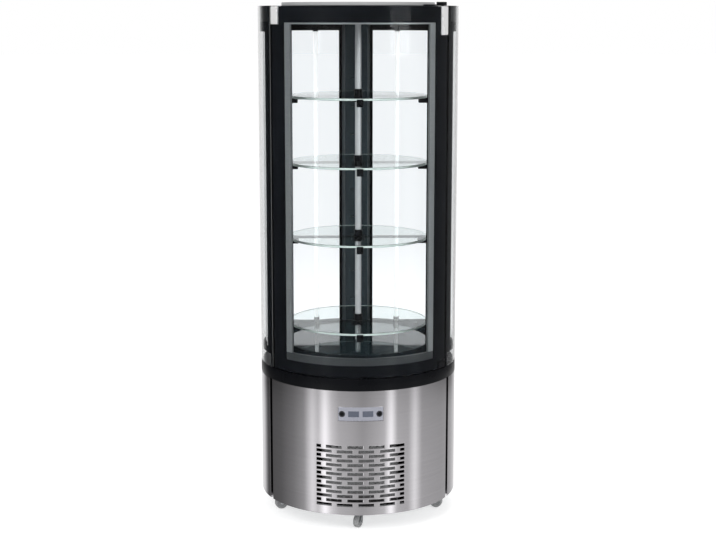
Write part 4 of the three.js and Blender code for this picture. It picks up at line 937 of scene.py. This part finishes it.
studio = {
    # the light that falls on dull surfaces from all around
    "plain": 0.62,
    # levels of the soft boxes and the dim walls between them, by angle, from the back round the left, front and right
    "zones": [(-180, 1.0), (-152, 0.85), (-138, 0.1), (-105, 0.15), (-84, 0.27), (-68, 0.45), (-57, 1.2), (-49, 0.85),
              (-41, 1.8), (-33, 1.0), (-24, 0.7), (-8, 0.61), (4, 0.5), (30, 0.74), (37.5, 1.75), (45, 0.68),
              (60, 0.63), (69, 1.2), (79, 0.55), (115, 0.47), (138, 0.5), (152, 0.7), (180, 1.0)],
    # shares by the height of the view: the walls are dimmer than the floor, and the ceiling is bright
    "heights": [(-1, 1.0), (-0.262, 1.0), (-0.25, 0.35), (0.3, 0.4), (0.7, 0.9), (1, 0.9)],
    "backdropFrom": 0.75, "backdropFull": 0.92, "backdropTop": 0.2270, "backdropSoft": 0.001, "aboveBackdrop": 0.03,
    "secondMirror": 0.25,
    "floorTone": 0.80, "floorGlow": 0.54, "floorRadius": 60.0, "floorLevel": -0.0005,
    "lampAim": (0, 0, 0.9),
    # name, place, power and size
    "lamps": (("keyLamp", (-2.6, -3.6, 3.8), 85.0, 2.4), ("fillLamp", (3.2, -3.0, 2.4), 45.0, 2.0),
              ("backLamp", (0.6, 3.2, 3.6), 45.0, 2.4)),
}


def makeWorld(g):
    world = bpy.data.worlds.new("studioWorld")
    scene.world = world
    world.use_nodes = True
    tree = world.node_tree
    tree.nodes.clear()
    place = addNode(tree, "ShaderNodeTexCoord")
    parts = addNode(tree, "ShaderNodeSeparateXYZ")
    tree.links.new(place.outputs["Generated"], parts.inputs["Vector"])
    right, deep, high = (parts.outputs[label] for label in "XYZ")
    # soft boxes stand round the cabinet between plain zones, and each direction has its own level
    turn = mathOf(tree, "ARCTAN2", right, mathOf(tree, "MULTIPLY", deep, -1.0))
    zones = rampOf(tree, rangeOf(tree, turn, -math.pi, math.pi), [((a + 180) / 360, level) for a, level in g["zones"]])
    walls = rampOf(tree, rangeOf(tree, high, -1.0, 1.0), [((z + 1) / 2, level) for z, level in g["heights"]])
    # behind the cabinet stands the plain backdrop, bright up to its upper edge
    behind = rangeOf(tree, deep, g["backdropFrom"], g["backdropFull"])
    edge = rangeOf(tree, high, g["backdropTop"], g["backdropTop"] + g["backdropSoft"], 1.0, g["aboveBackdrop"])
    share = mixOf(tree, behind, walls, edge, data_type="RGBA")
    both = mixOf(tree, 1.0, zones, share, data_type="RGBA", blend_type="MULTIPLY")
    # an image mirrored twice, such as the one under a shelf in the deck, is dimmer
    path = addNode(tree, "ShaderNodeLightPath").outputs
    again = rangeOf(tree, path["Glossy Depth"], 1.0, 2.0, 1.0, g["secondMirror"])
    dimmed = mixOf(tree, 1.0, both, again, data_type="RGBA", blend_type="MULTIPLY")
    mirrored = mathOf(tree, "GREATER_THAN", path["Glossy Depth"], 0.5)
    lit = mixOf(tree, mirrored, grey(g["plain"]), dimmed, data_type="RGBA")
    # through the glass the backdrop is white, but what a surface behind the glass mirrors is the studio
    straight = mathOf(tree, "LESS_THAN", path["Glossy Depth"], 0.5)
    through = mathOf(tree, "MULTIPLY", path["Is Transmission Ray"], straight)
    seen = mathOf(tree, "MAXIMUM", path["Is Camera Ray"], through)
    sky = addNode(tree, "ShaderNodeBackground")
    tree.links.new(mixOf(tree, seen, lit, grey(1), data_type="RGBA"), sky.inputs["Color"])
    leave = addNode(tree, "ShaderNodeOutputWorld")
    tree.links.new(sky.outputs[0], leave.inputs["Surface"])


def makeFloor(g):
    # a round floor whose own glow brings its lit colour up to white and leaves the object's shadow
    material = bpy.data.materials.new("studioFloor")
    material.use_nodes = True
    tree = material.node_tree
    shader = tree.nodes["Principled BSDF"]
    path = addNode(tree, "ShaderNodeLightPath").outputs
    seen = mathOf(tree, "MAXIMUM", path["Is Camera Ray"], path["Is Transmission Ray"])
    glowing = mathOf(tree, "MULTIPLY", seen, g["floorGlow"])
    feedAll(tree, shader, {"Base Color": grey(g["floorTone"]), "Roughness": 0.9, "Specular IOR Level": 0.1,
                           "Emission Color": grey(1), "Emission Strength": glowing})
    # a mirror image that leaves through the glass sees the studio and not the floor
    mirrored = mathOf(tree, "GREATER_THAN", path["Glossy Depth"], 0.5)
    blendShaders(tree, mirrored, shader, addNode(tree, "ShaderNodeBsdfTransparent"))
    points = around(g["floorRadius"], np.arange(0.0, 360.0, 5.0), g["floorLevel"])
    mesh = bpy.data.meshes.new("studioFloor")
    mesh.from_pydata(points, [], [list(range(len(points)))])
    mesh.materials.append(material)
    floor = bpy.data.objects.new("studioFloor", mesh)
    floor.visible_glossy = False
    scene.collection.objects.link(floor)


def makeLamp(name, place, power, size, target):
    lamp = bpy.data.lights.new(name, "AREA")
    lamp.energy = power
    lamp.size = size
    holder = bpy.data.objects.new(name, lamp)
    holder.location = place
    x, y, z = np.array(target) - np.array(place)
    holder.rotation_euler = (math.atan2(math.hypot(x, y), -z), 0, math.atan2(y, x) - math.pi / 2)
    holder.visible_glossy = False
    scene.collection.objects.link(holder)


makeWorld(studio)
makeFloor(studio)
for row in studio["lamps"]:
    makeLamp(*row, studio["lampAim"])
scene.view_settings.view_transform = "Standard"
